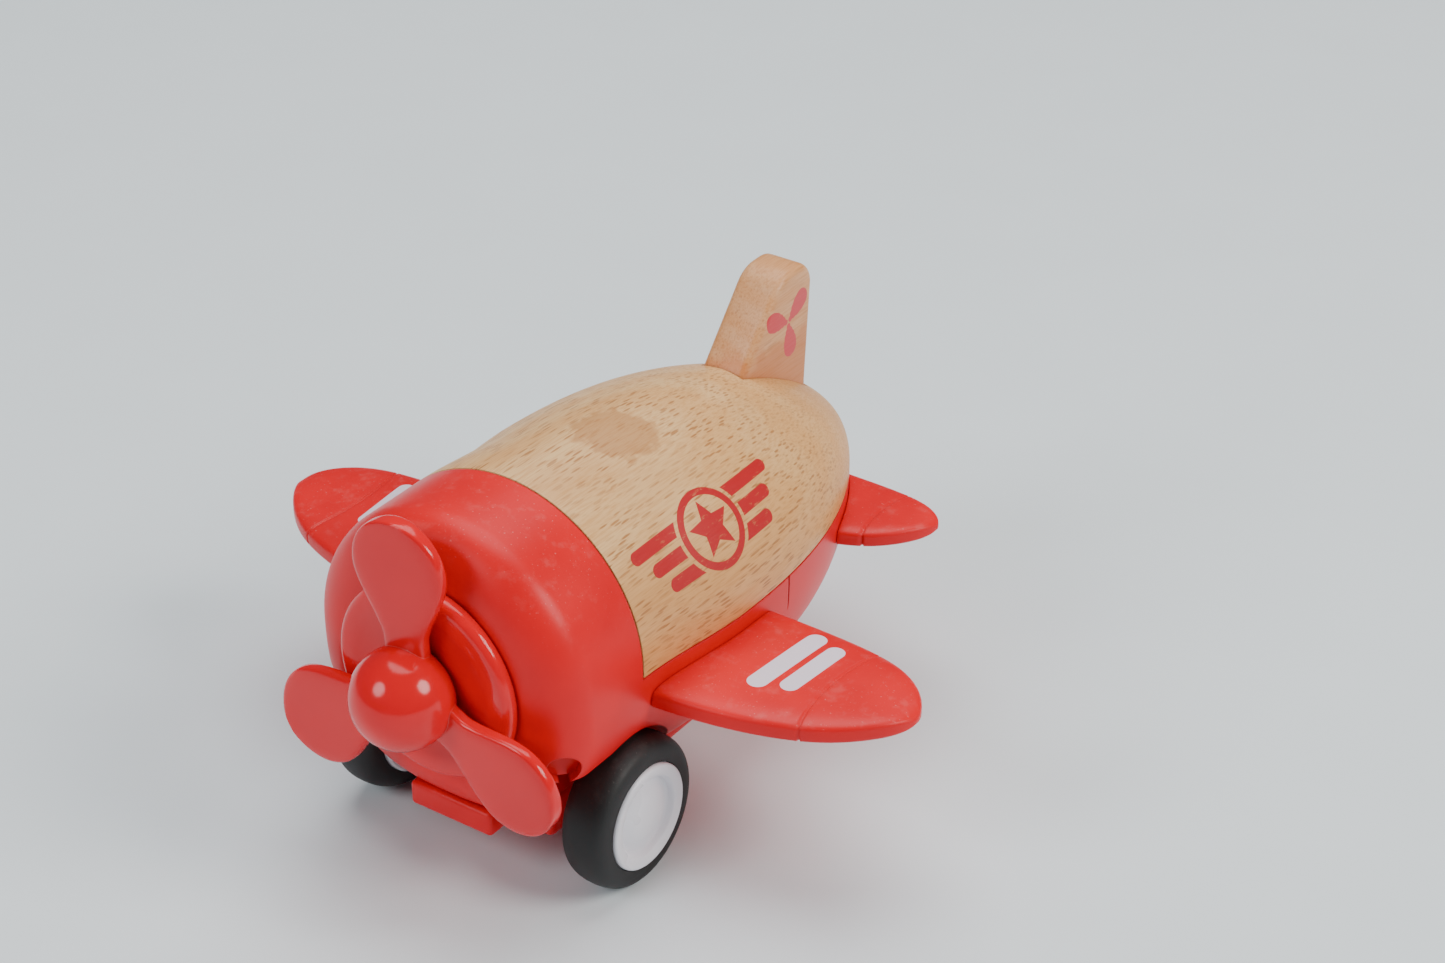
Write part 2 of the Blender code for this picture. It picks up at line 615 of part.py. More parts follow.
def blade(index):
    theta = math.pi / 2 + PROP_REST + index * 2 * math.pi / 3
    out = Vector((math.cos(theta), 0, math.sin(theta)))
    across = Vector((-math.sin(theta), 0, math.cos(theta)))
    centre = Vector((0, PROP_Y, AXIS_Z))
    chord = across * math.cos(BLADE_PITCH) + Y * math.sin(BLADE_PITCH)
    normal = out.cross(chord)
    wide_r = PROP_R - BLADE_WIDTH / 2
    radii = [3 * MM + (wide_r - 3 * MM) * i / 5 for i in range(6)]
    radii += [wide_r + (PROP_R - wide_r) * math.sin(math.radians(a)) for a in (25, 48, 67, 82)]
    rings = []
    for r in radii:
        half = blade_half_width(r)
        thick = BLADE_THICK / 2 * min(1.0, 0.35 + half / (BLADE_NECK / 2) * 0.65)
        ring = []
        for i in range(12):
            a = 2 * math.pi * i / 12
            along = math.copysign(abs(math.cos(a)) ** 0.8, math.cos(a)) * half
            deep = math.copysign(abs(math.sin(a)) ** 0.8, math.sin(a)) * thick
            ring.append(centre + out * r + chord * along + normal * deep)
        rings.append(ring)
    return loft(f"blade_{index}", rings, CUTTERS)


def make_propeller():
    half_turn = [math.radians(90 - 15 * i) for i in range(13)]
    profile = [(max(0.0, SPINNER_R * math.cos(a)), SPINNER_R * math.sin(a)) for a in half_turn]
    propeller = turned("propeller", profile, (0, SPINNER_Y, AXIS_Z), -Y, mat=gloss_red, steps=28)
    for i in range(3):
        boolean(propeller, blade(i), "UNION")
    reach = SPINNER_R + FAR
    back = box("propeller_back", (-reach, PROP_BACK_Y, AXIS_Z - reach), (reach, 0, AXIS_Z + reach))
    boolean(propeller, back)
    tip = (0, PROP_BACK_Y - SHAFT_IN_PROP, AXIS_Z)
    hole_end = (0, tip[1] - GAP, AXIS_Z)
    boolean(propeller, rod("propeller_hole", hole_end, (0, PROP_BACK_Y + FAR, AXIS_Z), SHAFT_R + GAP))
    smooth(propeller, 45)
    bush_back = DISC_FRONT_Y + BUSH_LENGTH
    shaft_end = bush_back + COLLAR_THICK + SHAFT_TAIL
    rod("propeller_shaft", tip, (0, shaft_end, AXIS_Z), SHAFT_R, PARTS, steel)
    inner = SHAFT_R + GAP
    collar = [(inner, 0), (COLLAR_R, 0), (COLLAR_R, -COLLAR_THICK), (inner, -COLLAR_THICK)]
    turned("shaft_collar", collar, (0, bush_back + GAP, AXIS_Z), -Y, mat=steel, steps=24, ring=True)


# ---------------------------------------------------------------- wheels


def make_wheel(suffix, side):
    axis = X * side
    back = (side * HUB_X[0], AXLE_Y, AXLE_Z)
    depth = HUB_X[1] - HUB_X[0]
    face = [(r * MM, depth + h * MM) for r, h in HUB_DOME]
    face += arc_profile(HUB_R, depth - 0.5 * MM, 0.4 * MM, 2)
    hub = turned(f"hub_{suffix}", [*face, (HUB_R, 0.3 * MM), (HUB_R - 0.3 * MM, 0), (0, 0)],
                 back, axis, mat=white_plastic, steps=36)
    bore_end = side * (AXLE_HALF + GAP)
    start = (side * (HUB_X[0] - FAR), AXLE_Y, AXLE_Z)
    boolean(hub, rod(f"hub_bore_{suffix}", start, (bore_end, AXLE_Y, AXLE_Z), AXLE_R + GAP))
    width = TYRE_X[1] - TYRE_X[0]
    inner = HUB_R + GAP
    profile = []
    for i in range(11):
        a = math.radians(90 - 18 * i)
        r = inner + (TYRE_R - inner) * max(0.0, math.cos(a)) ** 0.72
        profile.append((r, width / 2 + width / 2 * math.copysign(abs(math.sin(a)) ** 0.85, math.sin(a))))
    start = (side * TYRE_X[0], AXLE_Y, AXLE_Z)
    turned(f"tyre_{suffix}", profile, start, axis, mat=rubber, steps=40, ring=True)


def make_front_wheels():
    for suffix, side in (("port", 1), ("starboard", -1)):
        make_wheel(suffix, side)
    rod("front_axle", (-AXLE_HALF, AXLE_Y, AXLE_Z), (AXLE_HALF, AXLE_Y, AXLE_Z), AXLE_R, PARTS, steel)


# ---------------------------------------------------------------- belly tray


def make_tray():
    wide = TRAY_HALF_WIDTH
    near, far = (-wide, TRAY_Y[0], TRAY_Z[0]), (wide, TRAY_Y[1], TRAY_Z[1])
    tray = box("belly_tray", near, far, PARTS, red_plastic)
    soften(tray, TRAY_ROUND)
    inside = box(
        "tray_inside",
        (TRAY_WALL - wide, TRAY_Y[0] + TRAY_WALL, TRAY_Z[0] + TRAY_FLOOR),
        (wide - TRAY_WALL, TRAY_Y[1] - TRAY_WALL, TRAY_Z[1] + FAR),
    )
    corners = [(sx * TRAY_SCREW_X, y) for sx in (-1, 1) for y in TRAY_SCREW_YS]
    for i, (x, y) in enumerate(corners):
        boolean(inside, rod(f"tray_boss_{i}", (x, y, 0), (x, y, TRAY_Z[1] + 2 * FAR), BOSS_R))
    boolean(tray, inside)
    bumper = box(
        "bumper",
        (-BUMPER_HALF_WIDTH, BUMPER_Y, BUMPER_Z[0]),
        (BUMPER_HALF_WIDTH, TRAY_Y[0] + TRAY_WALL / 2, BUMPER_Z[1]),
        bevel=BUMPER_ROUND,
    )
    boolean(tray, bumper, "UNION")
    boolean(tray, fuselage("bumper_clearance", COWL_Y, SEAM_Y, inset=-GAP))
    low = (-wide - FAR, AXLE_Y, AXLE_Z)
    high = (wide + FAR, AXLE_Y, AXLE_Z)
    boolean(tray, rod("tray_bearing", low, high, AXLE_R + SHAFT_GAP))
    slot = AXLE_R + SHAFT_GAP
    near, far = (low[0], AXLE_Y - slot, AXLE_Z), (high[0], AXLE_Y + slot, TRAY_Z[1] + FAR)
    boolean(tray, box("tray_slot", near, far))
    for i, (x, y) in enumerate(corners):
        boolean(tray, rod(f"tray_hole_{i}", (x, y, 0), (x, y, TRAY_Z[1] + FAR), SCREW_R + GAP))
        sink = TRAY_Z[0] + SCREW_HEAD + GAP
        boolean(tray, rod(f"tray_sink_{i}", (x, y, 0), (x, y, sink), SCREW_HEAD_R + GAP))
        screw(f"tray_screw_{i}", (x, y, TRAY_Z[0] + SCREW_HEAD), Z, TRAY_SCREW)
    smooth(tray, 35)


def screw(name, under_head, axis, length, head=SCREW_HEAD):
    """A pan-head screw with a cross recess: its head's underside is at a point, its shank along axis."""
    tip = [(0, -length), (0.4 * MM, -length)]
    shank = [(SCREW_R, -length + 0.8 * MM), (SCREW_R, 0), (SCREW_HEAD_R, 0)]
    crown = [(SCREW_HEAD_R, 0.55 * head), (SCREW_HEAD_R * 0.7, head), (0, head)]
    profile = [*reversed(crown), *reversed(shank), *reversed(tip)]
    made = turned(name, profile, under_head, -Vector(axis), mat=steel, steps=20)
    turn = turn_to(-Vector(axis))
    for i, long_side in enumerate((X, Y)):
        short_side = Y if i == 0 else X
        half = long_side * 1.2 * MM + short_side * 0.22 * MM
        low, high = -half + Z * head * 0.55, half + Z * head * 1.5
        cut = box(f"{name}_cross_{i}", low, high)
        cut.data.transform(Matrix.Translation(Vector(under_head)) @ turn)
        boolean(made, cut)
    return made


# ---------------------------------------------------------------- tail wheel


def make_tail_wheel():
    y, z = TAIL_WHEEL_Y, TAIL_WHEEL_R
    half = TAIL_WHEEL_WIDTH / 2
    bracket = box(
        "tail_bracket",
        (-BRACKET_HALF_WIDTH, y - BRACKET_HALF_LENGTH, z - BRACKET_LOW),
        (BRACKET_HALF_WIDTH, y + BRACKET_HALF_LENGTH, AXIS_Z - BRACKET_HIGH),
        PARTS,
        red_plastic,
    )
    soften(bracket, BRACKET_ROUND)
    boolean(bracket, fuselage("bracket_clearance", COWL_Y, TAIL_Y - 0.1 * MM, inset=-GAP))
    room = BRACKET_HALF_WIDTH - CHEEK
    around = TAIL_WHEEL_R + TAIL_WHEEL_ROOM
    boolean(bracket, rod("wheel_room", (-room, y, z), (room, y, z), around, segments=40))
    lowest = box("wheel_room_low", (-room, y - THROUGH, 0), (room, y + THROUGH, z))
    boolean(bracket, lowest)
    boolean(bracket, rod("tail_pin_hole", (-THROUGH, y, z), (THROUGH, y, z), TAIL_PIN_R + GAP))
    seat_z = TAIL_WHEEL_R + around + 0.2 * MM
    boolean(bracket, rod("bracket_screw_hole", (0, y, 0), (0, y, AXIS_Z), SCREW_R + GAP))
    sink = seat_z + SCREW_HEAD + GAP
    boolean(bracket, rod("bracket_head_room", (0, y, z), (0, y, sink), SCREW_HEAD_R + GAP))
    smooth(bracket, 35)
    screw("bracket_screw", (0, y, seat_z + SCREW_HEAD), Z, BRACKET_SCREW)
    inner = TAIL_PIN_R + SHAFT_GAP
    face = arc_profile(TAIL_WHEEL_R, 2 * half, TAIL_WHEEL_ROUND, 2)
    back = [(r, 2 * half - h) for r, h in reversed(face)]
    profile = [(inner, 2 * half), *face, *back, (inner, 0)]
    turned("tail_wheel", profile, (-half, y, z), X, mat=rubber, steps=32, ring=True)
    rod("tail_pin", (-BRACKET_HALF_WIDTH - 0.5 * MM, y, z), (BRACKET_HALF_WIDTH + 0.5 * MM, y, z),
        TAIL_PIN_R, PARTS, steel)


# ---------------------------------------------------------------- spring motor


def involute(angle):
    return math.tan(angle) - angle


def gear_outline(teeth, phase):
    """Involute tooth outline in Y and Z about the gear's centre; a tooth is centred on phase."""
    pitch_r = MODULE * teeth / 2
    base_r = pitch_r * math.cos(PRESSURE)
    tip_r = pitch_r + 0.9 * MODULE
    root_r = pitch_r - 1.15 * MODULE
    half_tooth = (math.pi * MODULE / 2 - BACKLASH / 2) / 2 / pitch_r
    start_r = max(base_r, root_r + 0.05 * MM)
    flank = []
    for i in range(3):
        r = start_r + (tip_r - start_r) * i / 2
        at = math.acos(min(1.0, base_r / r))
        flank.append((r, half_tooth + involute(PRESSURE) - involute(at)))
    points = []
    for tooth in range(teeth):
        middle = phase + 2 * math.pi * tooth / teeth
        side = [(root_r, flank[0][1]), *flank]
        for r, off in side:
            points.append((r * math.cos(middle - off), r * math.sin(middle - off)))
        for r, off in reversed(side):
            points.append((r * math.cos(middle + off), r * math.sin(middle + off)))
    return points


def gear(name, centre, teeth, phase, x_range, home=CUTTERS, mat=None):
    outline = gear_outline(teeth, phase)
    rings = [[(x, centre[0] + y, centre[1] + z) for y, z in outline] for x in x_range]
    return loft(name, rings, home, mat, origin=(x_range[0], centre[0], centre[1]))


def centre_distance(a, b):
    return MODULE * (a + b) / 2 + CENTRE_PLAY


def step(point, angle, distance):
    return (point[0] + distance * math.cos(angle), point[1] + distance * math.sin(angle))


def make_motor():
    axle = (AXLE_Y, AXLE_Z)
    idler = step(axle, IDLER_ANGLE, centre_distance(PINION_TEETH, IDLER_TEETH))
    barrel = step(idler, BARREL_ANGLE, centre_distance(PINION_TEETH, BARREL_TEETH))

    x0, x1 = MESH_1_X
    wide = (x0 - 0.3 * MM, x1 + 0.2 * MM)
    drive = gear("drive_pinion", axle, PINION_TEETH, IDLER_ANGLE, wide, PARTS, nylon)
    boolean(drive, rod("drive_bore", (-THROUGH, *axle), (THROUGH, *axle), AXLE_R + GAP))

    gap_phase = IDLER_ANGLE + math.pi + math.pi / IDLER_TEETH
    wheel = gear("idler_gear", idler, IDLER_TEETH, gap_phase, MESH_1_X, PARTS, nylon)
    small = gear("idler_pinion", idler, PINION_TEETH, BARREL_ANGLE, (x1 - 0.5 * MM, MESH_2_X[1] - 0.1 * MM))
    boolean(wheel, small, "UNION")
    boolean(wheel, rod("idler_bore", (-THROUGH, *idler), (THROUGH, *idler), PIN_R + GAP))

    gap_phase = BARREL_ANGLE + math.pi + math.pi / BARREL_TEETH
    drum = gear("spring_barrel", barrel, BARREL_TEETH, gap_phase, MESH_2_X, PARTS, nylon)
    d0, d1 = DRUM_X
    boolean(drum, rod("drum_wall", (d0 - 0.5 * MM, *barrel), (d1, *barrel), DRUM_R), "UNION")
    boolean(drum, rod("drum_room", (d0 + 0.3 * MM, *barrel), (d1 + 1 * MM, *barrel), DRUM_R - DRUM_WALL))
    boolean(drum, rod("drum_bore", (-THROUGH, *barrel), (THROUGH, *barrel), PIN_R + GAP))

    mainspring(barrel, (d0 + 0.8 * MM, d1 - 0.5 * MM))
    pin_half = CASE_HALF_WIDTH - 0.6 * MM
    rod("idler_pin", (-pin_half, *idler), (pin_half, *idler), PIN_R, PARTS, steel)
    rod("barrel_pin", (-pin_half, *barrel), (pin_half, *barrel), PIN_R, PARTS, steel)

    for suffix, side in (("port", 1), ("starboard", -1)):
        case_half(suffix, side, axle, (idler, barrel))


def mainspring(centre, x_range):
    """A flat strip wound in a spiral, one closed solid."""
    r0, r1 = SPRING_R
    steps_per_turn = 16
    count = SPRING_TURNS * steps_per_turn
    rings = []
    for i in range(count + 1):
        a = 2 * math.pi * i / steps_per_turn
        r = r0 + (r1 - r0) * i / count
        ring = []
        low, high = x_range
        for x, dr in ((low, 0), (high, 0), (high, SPRING_THICK), (low, SPRING_THICK)):
            ring.append((x, centre[0] + (r + dr) * math.cos(a), centre[1] + (r + dr) * math.sin(a)))
        rings.append(ring)
    loft("mainspring", rings, PARTS, spring_steel)


def case_half(suffix, side, axle, pins):
    """Half of the motor's case: a tray split on the centre plane."""
    inner_x, outer_x = side * GAP / 2, side * CASE_HALF_WIDTH

    def block(name, low_x, high_x, margin, home=CUTTERS, mat=None):
        low = (min(low_x, high_x), CASE_Y[0] + margin, CASE_Z[0] + margin)
        high = (max(low_x, high_x), CASE_Y[1] - margin, CASE_Z[1] - margin)
        return box(name, low, high, home, mat)

    made = block(f"motor_case_{suffix}", inner_x, outer_x, 0.0, PARTS, grey_plastic)
    inside = block(f"case_inside_{suffix}", -side * 1 * MM, outer_x - side * CASE_WALL, CASE_WALL)
    for i, pin in enumerate(pins):
        tip = outer_x - side * (CASE_WALL + PIN_R)
        boolean(inside, rod(f"case_boss_{suffix}_{i}", (tip, *pin), (outer_x, *pin), PIN_R + 1.2 * MM))
    boolean(made, inside)
    for i, pin in enumerate(pins):
        boolean(made, rod(f"case_pin_{suffix}_{i}", (0, *pin), (outer_x - side * GAP, *pin), PIN_R + GAP))
    boolean(made, rod(f"case_axle_{suffix}", (-THROUGH, *axle), (THROUGH, *axle), AXLE_R + SHAFT_GAP))
    if side < 0:
        reach = MODULE * (PINION_TEETH / 2 + 2)
        low = (MESH_1_X[0] - 1 * MM, axle[0] - reach, 0)
        high = (FAR, axle[0] + reach, CASE_Z[0] + 2 * CASE_WALL)
        boolean(made, box("pinion_window", low, high))
    return made


# ---------------------------------------------------------------- build

make_shell()
make_wood()
make_wings()
make_disc()
make_propeller()
make_front_wheels()
make_tray()
make_tail_wheel()
make_motor()
for index, post_y in enumerate(POST_YS):
    screw(f"wood_screw_{index}", (0, post_y, SEAM_Z - POST_WEB - GAP), Z, POST_SCREW)
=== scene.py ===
"""A pull-back toy airplane: red plastic cowl and tub, turned beech body and fin, plug-in wings,
a free-spinning propeller, front wheels driven by a spring motor and a small tail wheel.

One operator makes each piece or group of like pieces, in metres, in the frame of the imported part.
"""

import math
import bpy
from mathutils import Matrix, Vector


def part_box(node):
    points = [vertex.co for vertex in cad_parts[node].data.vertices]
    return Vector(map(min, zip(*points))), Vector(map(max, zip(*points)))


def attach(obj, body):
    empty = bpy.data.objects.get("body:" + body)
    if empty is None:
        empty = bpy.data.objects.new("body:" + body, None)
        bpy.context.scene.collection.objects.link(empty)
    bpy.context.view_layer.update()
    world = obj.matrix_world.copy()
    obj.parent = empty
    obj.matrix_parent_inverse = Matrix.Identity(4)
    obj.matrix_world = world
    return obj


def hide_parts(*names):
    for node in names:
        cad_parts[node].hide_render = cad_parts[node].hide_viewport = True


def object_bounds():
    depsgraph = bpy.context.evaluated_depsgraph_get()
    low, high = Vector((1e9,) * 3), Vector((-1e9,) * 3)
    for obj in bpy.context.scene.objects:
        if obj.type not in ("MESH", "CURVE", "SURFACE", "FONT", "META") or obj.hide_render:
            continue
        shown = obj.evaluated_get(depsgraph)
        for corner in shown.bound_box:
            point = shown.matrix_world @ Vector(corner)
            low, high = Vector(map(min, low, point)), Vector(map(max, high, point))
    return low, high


bl_info = {
    "name": "Toy Airplane",
    "version": (1, 0, 0),
    "blender": (4, 5, 0),
    "location": "3D View > Sidebar > Airplane",
    "description": "Makes the visible pieces of a wooden and plastic toy airplane",
    "category": "Add Mesh",
}

import bmesh
import bpy
from mathutils import Matrix, Vector

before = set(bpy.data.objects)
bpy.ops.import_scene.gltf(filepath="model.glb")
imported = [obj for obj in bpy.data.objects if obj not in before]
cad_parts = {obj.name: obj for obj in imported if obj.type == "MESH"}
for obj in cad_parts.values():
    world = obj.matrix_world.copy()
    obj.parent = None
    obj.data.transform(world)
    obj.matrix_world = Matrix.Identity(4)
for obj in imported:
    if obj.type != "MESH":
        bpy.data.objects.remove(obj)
CAD_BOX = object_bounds()

MM = 0.001
X, Y, Z = Vector((1, 0, 0)), Vector((0, 1, 0)), Vector((0, 0, 1))
SIDES = (("port", 1), ("starboard", -1))


def centre_of(node):
    low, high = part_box(node)
    return (low + high) / 2


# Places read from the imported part
TAIL_Y = CAD_BOX[1].y
SPINNER_TIP_Y = CAD_BOX[0].y
WING_TIP_X = CAD_BOX[1].x
STAB_TIP_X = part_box("tailplane_port")[1].x
COWL_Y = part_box("fuselage_shell")[0].y
FIN_TOP_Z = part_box("tail_fin")[1].z
AXLE = centre_of("front_axle")
AXIS_Z = centre_of("propeller_shaft").z
TAIL_AXLE = centre_of("tail_pin")

# Fuselage form
GAP = 0.3 * MM
COWL_R = 24.1 * MM
COWL_LIP_R = 16.0 * MM
COWL_ROUND = 6.5 * MM
SEAM_Y = -24.0 * MM
SEAM_Z = 34.6 * MM
BODY_HALF_WIDTH = 26.42 * MM
BODY_WIDEST_Y = -0.5 * MM
BODY_CROWN = 1.72
TAIL_POINT_Y = TAIL_Y + 0.02 * MM  # where the form would come to a point
WALL = 2.0 * MM
EDGE = 0.35 * MM  # rounding of a sanded edge
CLEAR_X = BODY_HALF_WIDTH + 10 * MM  # well outside the body
CLEAR = 10 * MM  # how far a cutter stands out past what it cuts

# Wheel wells, belly and tail wheel
TYRE_R = AXLE.z
WELL_X = 14.2 * MM
SKIRT_Z = 24.5 * MM
WELL_R = 13.0 * MM
BEARING_R = 1.55 * MM
POST_YS = (12.0 * MM, 27.0 * MM)
POST_R = 3.8 * MM
TRAY_FRONT_Y = COWL_Y + 8.8 * MM
TRAY_WALL = 1.6 * MM
TRAY_FLOOR = 1.2 * MM
TRAY_SCREW_X = 10.9 * MM
TRAY_SCREW_YS = (-29.8 * MM, 1.4 * MM)
BOSS_R = 2.4 * MM
SCREW_R = 1.0 * MM
SCREW_HEAD_R = 2.0 * MM
SCREW_HEAD = 1.4 * MM
HOLE_R = SCREW_R + GAP
SINK_R = SCREW_HEAD_R + GAP
CORNER_HOLE_R = 2.5 * MM
CORNER_HOLE = Vector((19.7, -37.7, 26.9)) * MM
CORNER_BACKING = 1.4 * MM
CORNER_OUT = 9 * MM  # from the hole's floor to clear outside
PARTING_YS = (10.45 * MM, 10.8 * MM)  # the fine parting line on each side of the tub
PARTING_Z = 28.6 * MM
PARTING_DEPTH = 0.3 * MM
DISC_SEAT_R = 9.3 * MM

# Tabs that plug into the tub: front, back, middle height, and where along the body the root is taken
WING_TAB = (-9.0 * MM, -1.0 * MM, 29.9 * MM, -5.0 * MM)
STAB_TAB = (34.5 * MM, 40.5 * MM, 30.1 * MM, 37.5 * MM)
TAB_REACH = 5 * MM
TAB_HALF = 0.9 * MM

# Nose
SPINNER_R = 7.8 * MM
BLADES = 3
BLADE_TURN = math.radians(2.5)
BLADE_PITCH = math.radians(-2.5)
BLADE_NECK = 3.5 * MM

# Printed marks on the wood, along the body (Y) and round its axis (arc length at PRINT_R)
PRINT_R = 25.0 * MM
RING_Y = -2.3 * MM
RING_ARC = 26.3 * MM
RING_R = 6.4 * MM
STAR_TIP = 4.75 * MM
BAR_START, BAR_R = 5.0, 1.12
BADGE_BARS = ((3.0, 16.6, -16.2), (-0.5, 13.9, -13.4), (-3.9, 11.6, -11.3))  # mm: height, two ends
WING_BARS = (((35.5, -11.6), (36.7, 2.0), 1.62), ((39.9, -9.8), (40.8, 0.8), 1.48))  # mm: ends, radius
PETAL_CENTRE = Vector((43.0, 57.0))  # mm
PETALS = (38, 158, 278)  # degrees
PETAL_FORM = ((0.7, 2.2, 0.5), (1.8, 3.0, 0.95), (2.8, 3.9, 1.4), (3.8, 4.6, 1.7))  # mm: near, far, radius


# ---------------------------------------------------------------- mesh tools


def super_fall(t, power, close=None):
    """1 at t = 0 falling to 0 at t = 1 along a superellipse."""
    return max(0.0, 1 - min(1.0, max(0.0, t)) ** power) ** (1 / (close or power))


def bent(value, power):
    """A signed power, which squares off or sharpens a sine or cosine."""
    return math.copysign(abs(value) ** power, value)


def ease(t):
    t = min(1.0, max(0.0, t))
    return t * t * (3 - 2 * t)


def link(name, mesh):
    made = bpy.data.objects.new(name, mesh)
    bpy.context.scene.collection.objects.link(made)
    return made


def closed(bm, name):
    """Merges doubles, turns the faces outwards and gives an object at the origin."""
    bmesh.ops.remove_doubles(bm, verts=bm.verts, dist=1e-7)
    bmesh.ops.recalc_face_normals(bm, faces=bm.faces)
    mesh = bpy.data.meshes.new(name)
    bm.to_mesh(mesh)
    bm.free()
    return link(name, mesh)


def loft(name, rings):
    """A closed solid through rings of equally many points."""
    bm = bmesh.new()
    rows = [[bm.verts.new(p) for p in ring] for ring in rings]
    count = len(rings[0])
    for a, b in zip(rows, rows[1:]):
        for i in range(count):
            j = (i + 1) % count
            bm.faces.new((a[i], a[j], b[j], b[i]))
    bm.faces.new(rows[0])
    bm.faces.new(rows[-1])
    return closed(bm, name)


def box(name, low, high, bevel=0.0, segments=4):
    """A box between two corners."""
    low, high = Vector(low), Vector(high)
    bm = bmesh.new()
    bmesh.ops.create_cube(bm, size=1)
    bmesh.ops.scale(bm, vec=high - low, verts=bm.verts)
    bmesh.ops.translate(bm, vec=(low + high) / 2, verts=bm.verts)
    if bevel:
        bmesh.ops.bevel(bm, geom=bm.edges[:], offset=bevel, segments=segments, profile=0.5, affect="EDGES")
    return closed(bm, name)


def turn_to(axis):
    return Vector(axis).to_track_quat("Z", "Y").to_matrix().to_4x4()


def rod(name, start, end, radius, segments=64, bevel=0.0):
    start, end = Vector(start), Vector(end)
    bm = bmesh.new()
    bmesh.ops.create_cone(bm, cap_ends=True, segments=segments, radius1=radius, radius2=radius,
                          depth=(end - start).length)
    if bevel:
        rims = [e for e in bm.edges if any(len(f.verts) > 4 for f in e.link_faces)]
        bmesh.ops.bevel(bm, geom=rims, offset=bevel, segments=3, profile=0.5, affect="EDGES")
    bm.transform(Matrix.Translation((start + end) / 2) @ turn_to(end - start))
    return closed(bm, name)


def upright(x, y, bottom, top, radius, segments=64):
    return rod("upright", (x, y, bottom), (x, y, top), radius, segments)


def crosswise(name, start, end, y, z, radius, segments=64, bevel=0.0):
    return rod(name, (start, y, z), (end, y, z), radius, segments, bevel)


def turned(name, profile, at, axis, steps=96, ring=False):
    """A turned piece: (radius, height) points from the top of its axis down its outer side."""
    bm = bmesh.new()
    count = len(profile)
    rows = []
    for r, h in profile:
        if r < 1e-7:
            rows.append([bm.verts.new((0, 0, h))])
        else:
            turns = (2 * math.pi * i / steps for i in range(steps))
            rows.append([bm.verts.new((r * math.cos(a), r * math.sin(a), h)) for a in turns])
    pairs = list(zip(range(count), range(1, count)))
    if ring:
        pairs.append((count - 1, 0))
    for i, j in pairs:
        a, b = rows[i], rows[j]
        for k in range(steps):
            n = (k + 1) % steps
            corners = list(dict.fromkeys((a[k % len(a)], a[n % len(a)], b[n % len(b)], b[k % len(b)])))
            if len(corners) > 2:
                bm.faces.new(corners)
    bm.transform(Matrix.Translation(Vector(at)) @ turn_to(axis))
    return closed(bm, name)


def rounded_rim(radius, height, corner, steps=6):
    """A rounded outer edge at the top of a turned piece, down its outside."""
    turns = [math.radians(90 - 90 * i / steps) for i in range(steps + 1)]
    return [(radius + corner * (math.cos(a) - 1), height + corner * (math.sin(a) - 1)) for a in turns]


def shape(target, cutters, operation="DIFFERENCE"):
    """Cuts the cutters out of the target, or joins them to it, and uses them up."""
    group = bpy.data.collections.new("cutters")
    for cutter in cutters:
        for home in list(cutter.users_collection):
            home.objects.unlink(cutter)
        group.objects.link(cutter)
    mod = target.modifiers.new("cut", "BOOLEAN")
    mod.operation = operation
    mod.solver = "EXACT"
    mod.operand_type = "COLLECTION"
    mod.collection = group
    settle(target)
    for cutter in cutters:
        bpy.data.objects.remove(cutter)
    bpy.data.collections.remove(group)
    return target


def settle(target):
    """Applies the target's modifiers to its mesh."""
    bpy.context.view_layer.update()
    graph = bpy.context.evaluated_depsgraph_get()
    made = bpy.data.meshes.new_from_object(target.evaluated_get(graph))
    old = target.data
    target.modifiers.clear()
    target.data = made
    bpy.data.meshes.remove(old)
    return target


def soften(target, width, segments, angle):
    """Rounds the edges that are sharper than the angle."""
    mod = target.modifiers.new("rounded", "BEVEL")
    mod.width = width
    mod.segments = segments
    mod.limit_method = "ANGLE"
    mod.angle_limit = math.radians(angle)
    return settle(target)


def finish_piece(piece, material, body, nodes, angle=35):
    """Shades a finished piece, gives it its material and puts it in place of its CAD nodes."""
    piece.data.shade_smooth()
    piece.data.set_sharp_from_angle(angle=math.radians(angle))
    piece.data.materials.clear()
    piece.data.materials.append(material)
    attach(piece, body)
    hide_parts(*nodes)
    return piece


# ---------------------------------------------------------------- fuselage form


def cowl_radius(y):
    t = (COWL_Y + COWL_ROUND - y) / COWL_ROUND
    return COWL_LIP_R + (COWL_R - COWL_LIP_R) * super_fall(t, 2.0)


def half_width(y):
    if y <= SEAM_Y:
        return cowl_radius(y)
    if y <= BODY_WIDEST_Y:
        swell = ease((y - SEAM_Y) / (BODY_WIDEST_Y - SEAM_Y))
        return COWL_R + (BODY_HALF_WIDTH - COWL_R) * swell
    return BODY_HALF_WIDTH * super_fall((y - BODY_WIDEST_Y) / (TAIL_POINT_Y - BODY_WIDEST_Y), 2.4, 1.49)


def top_rise(y):
    if y <= SEAM_Y:
        return cowl_radius(y)
    return COWL_R * super_fall((y - SEAM_Y) / (TAIL_POINT_Y - SEAM_Y), 2.65, 1.22)


def belly_drop(y):
    if y <= BODY_WIDEST_Y:
        return cowl_radius(y)
    return COWL_R * super_fall((y - BODY_WIDEST_Y) / (TAIL_POINT_Y - BODY_WIDEST_Y), 2.1)


def crown_power(y):
    return 2.0 + (BODY_CROWN - 2.0) * ease((y - SEAM_Y) / (15 * MM))


def belly_power(y):
    return 2.6 + 0.5 * ease((y - SEAM_Y) / (12 * MM))


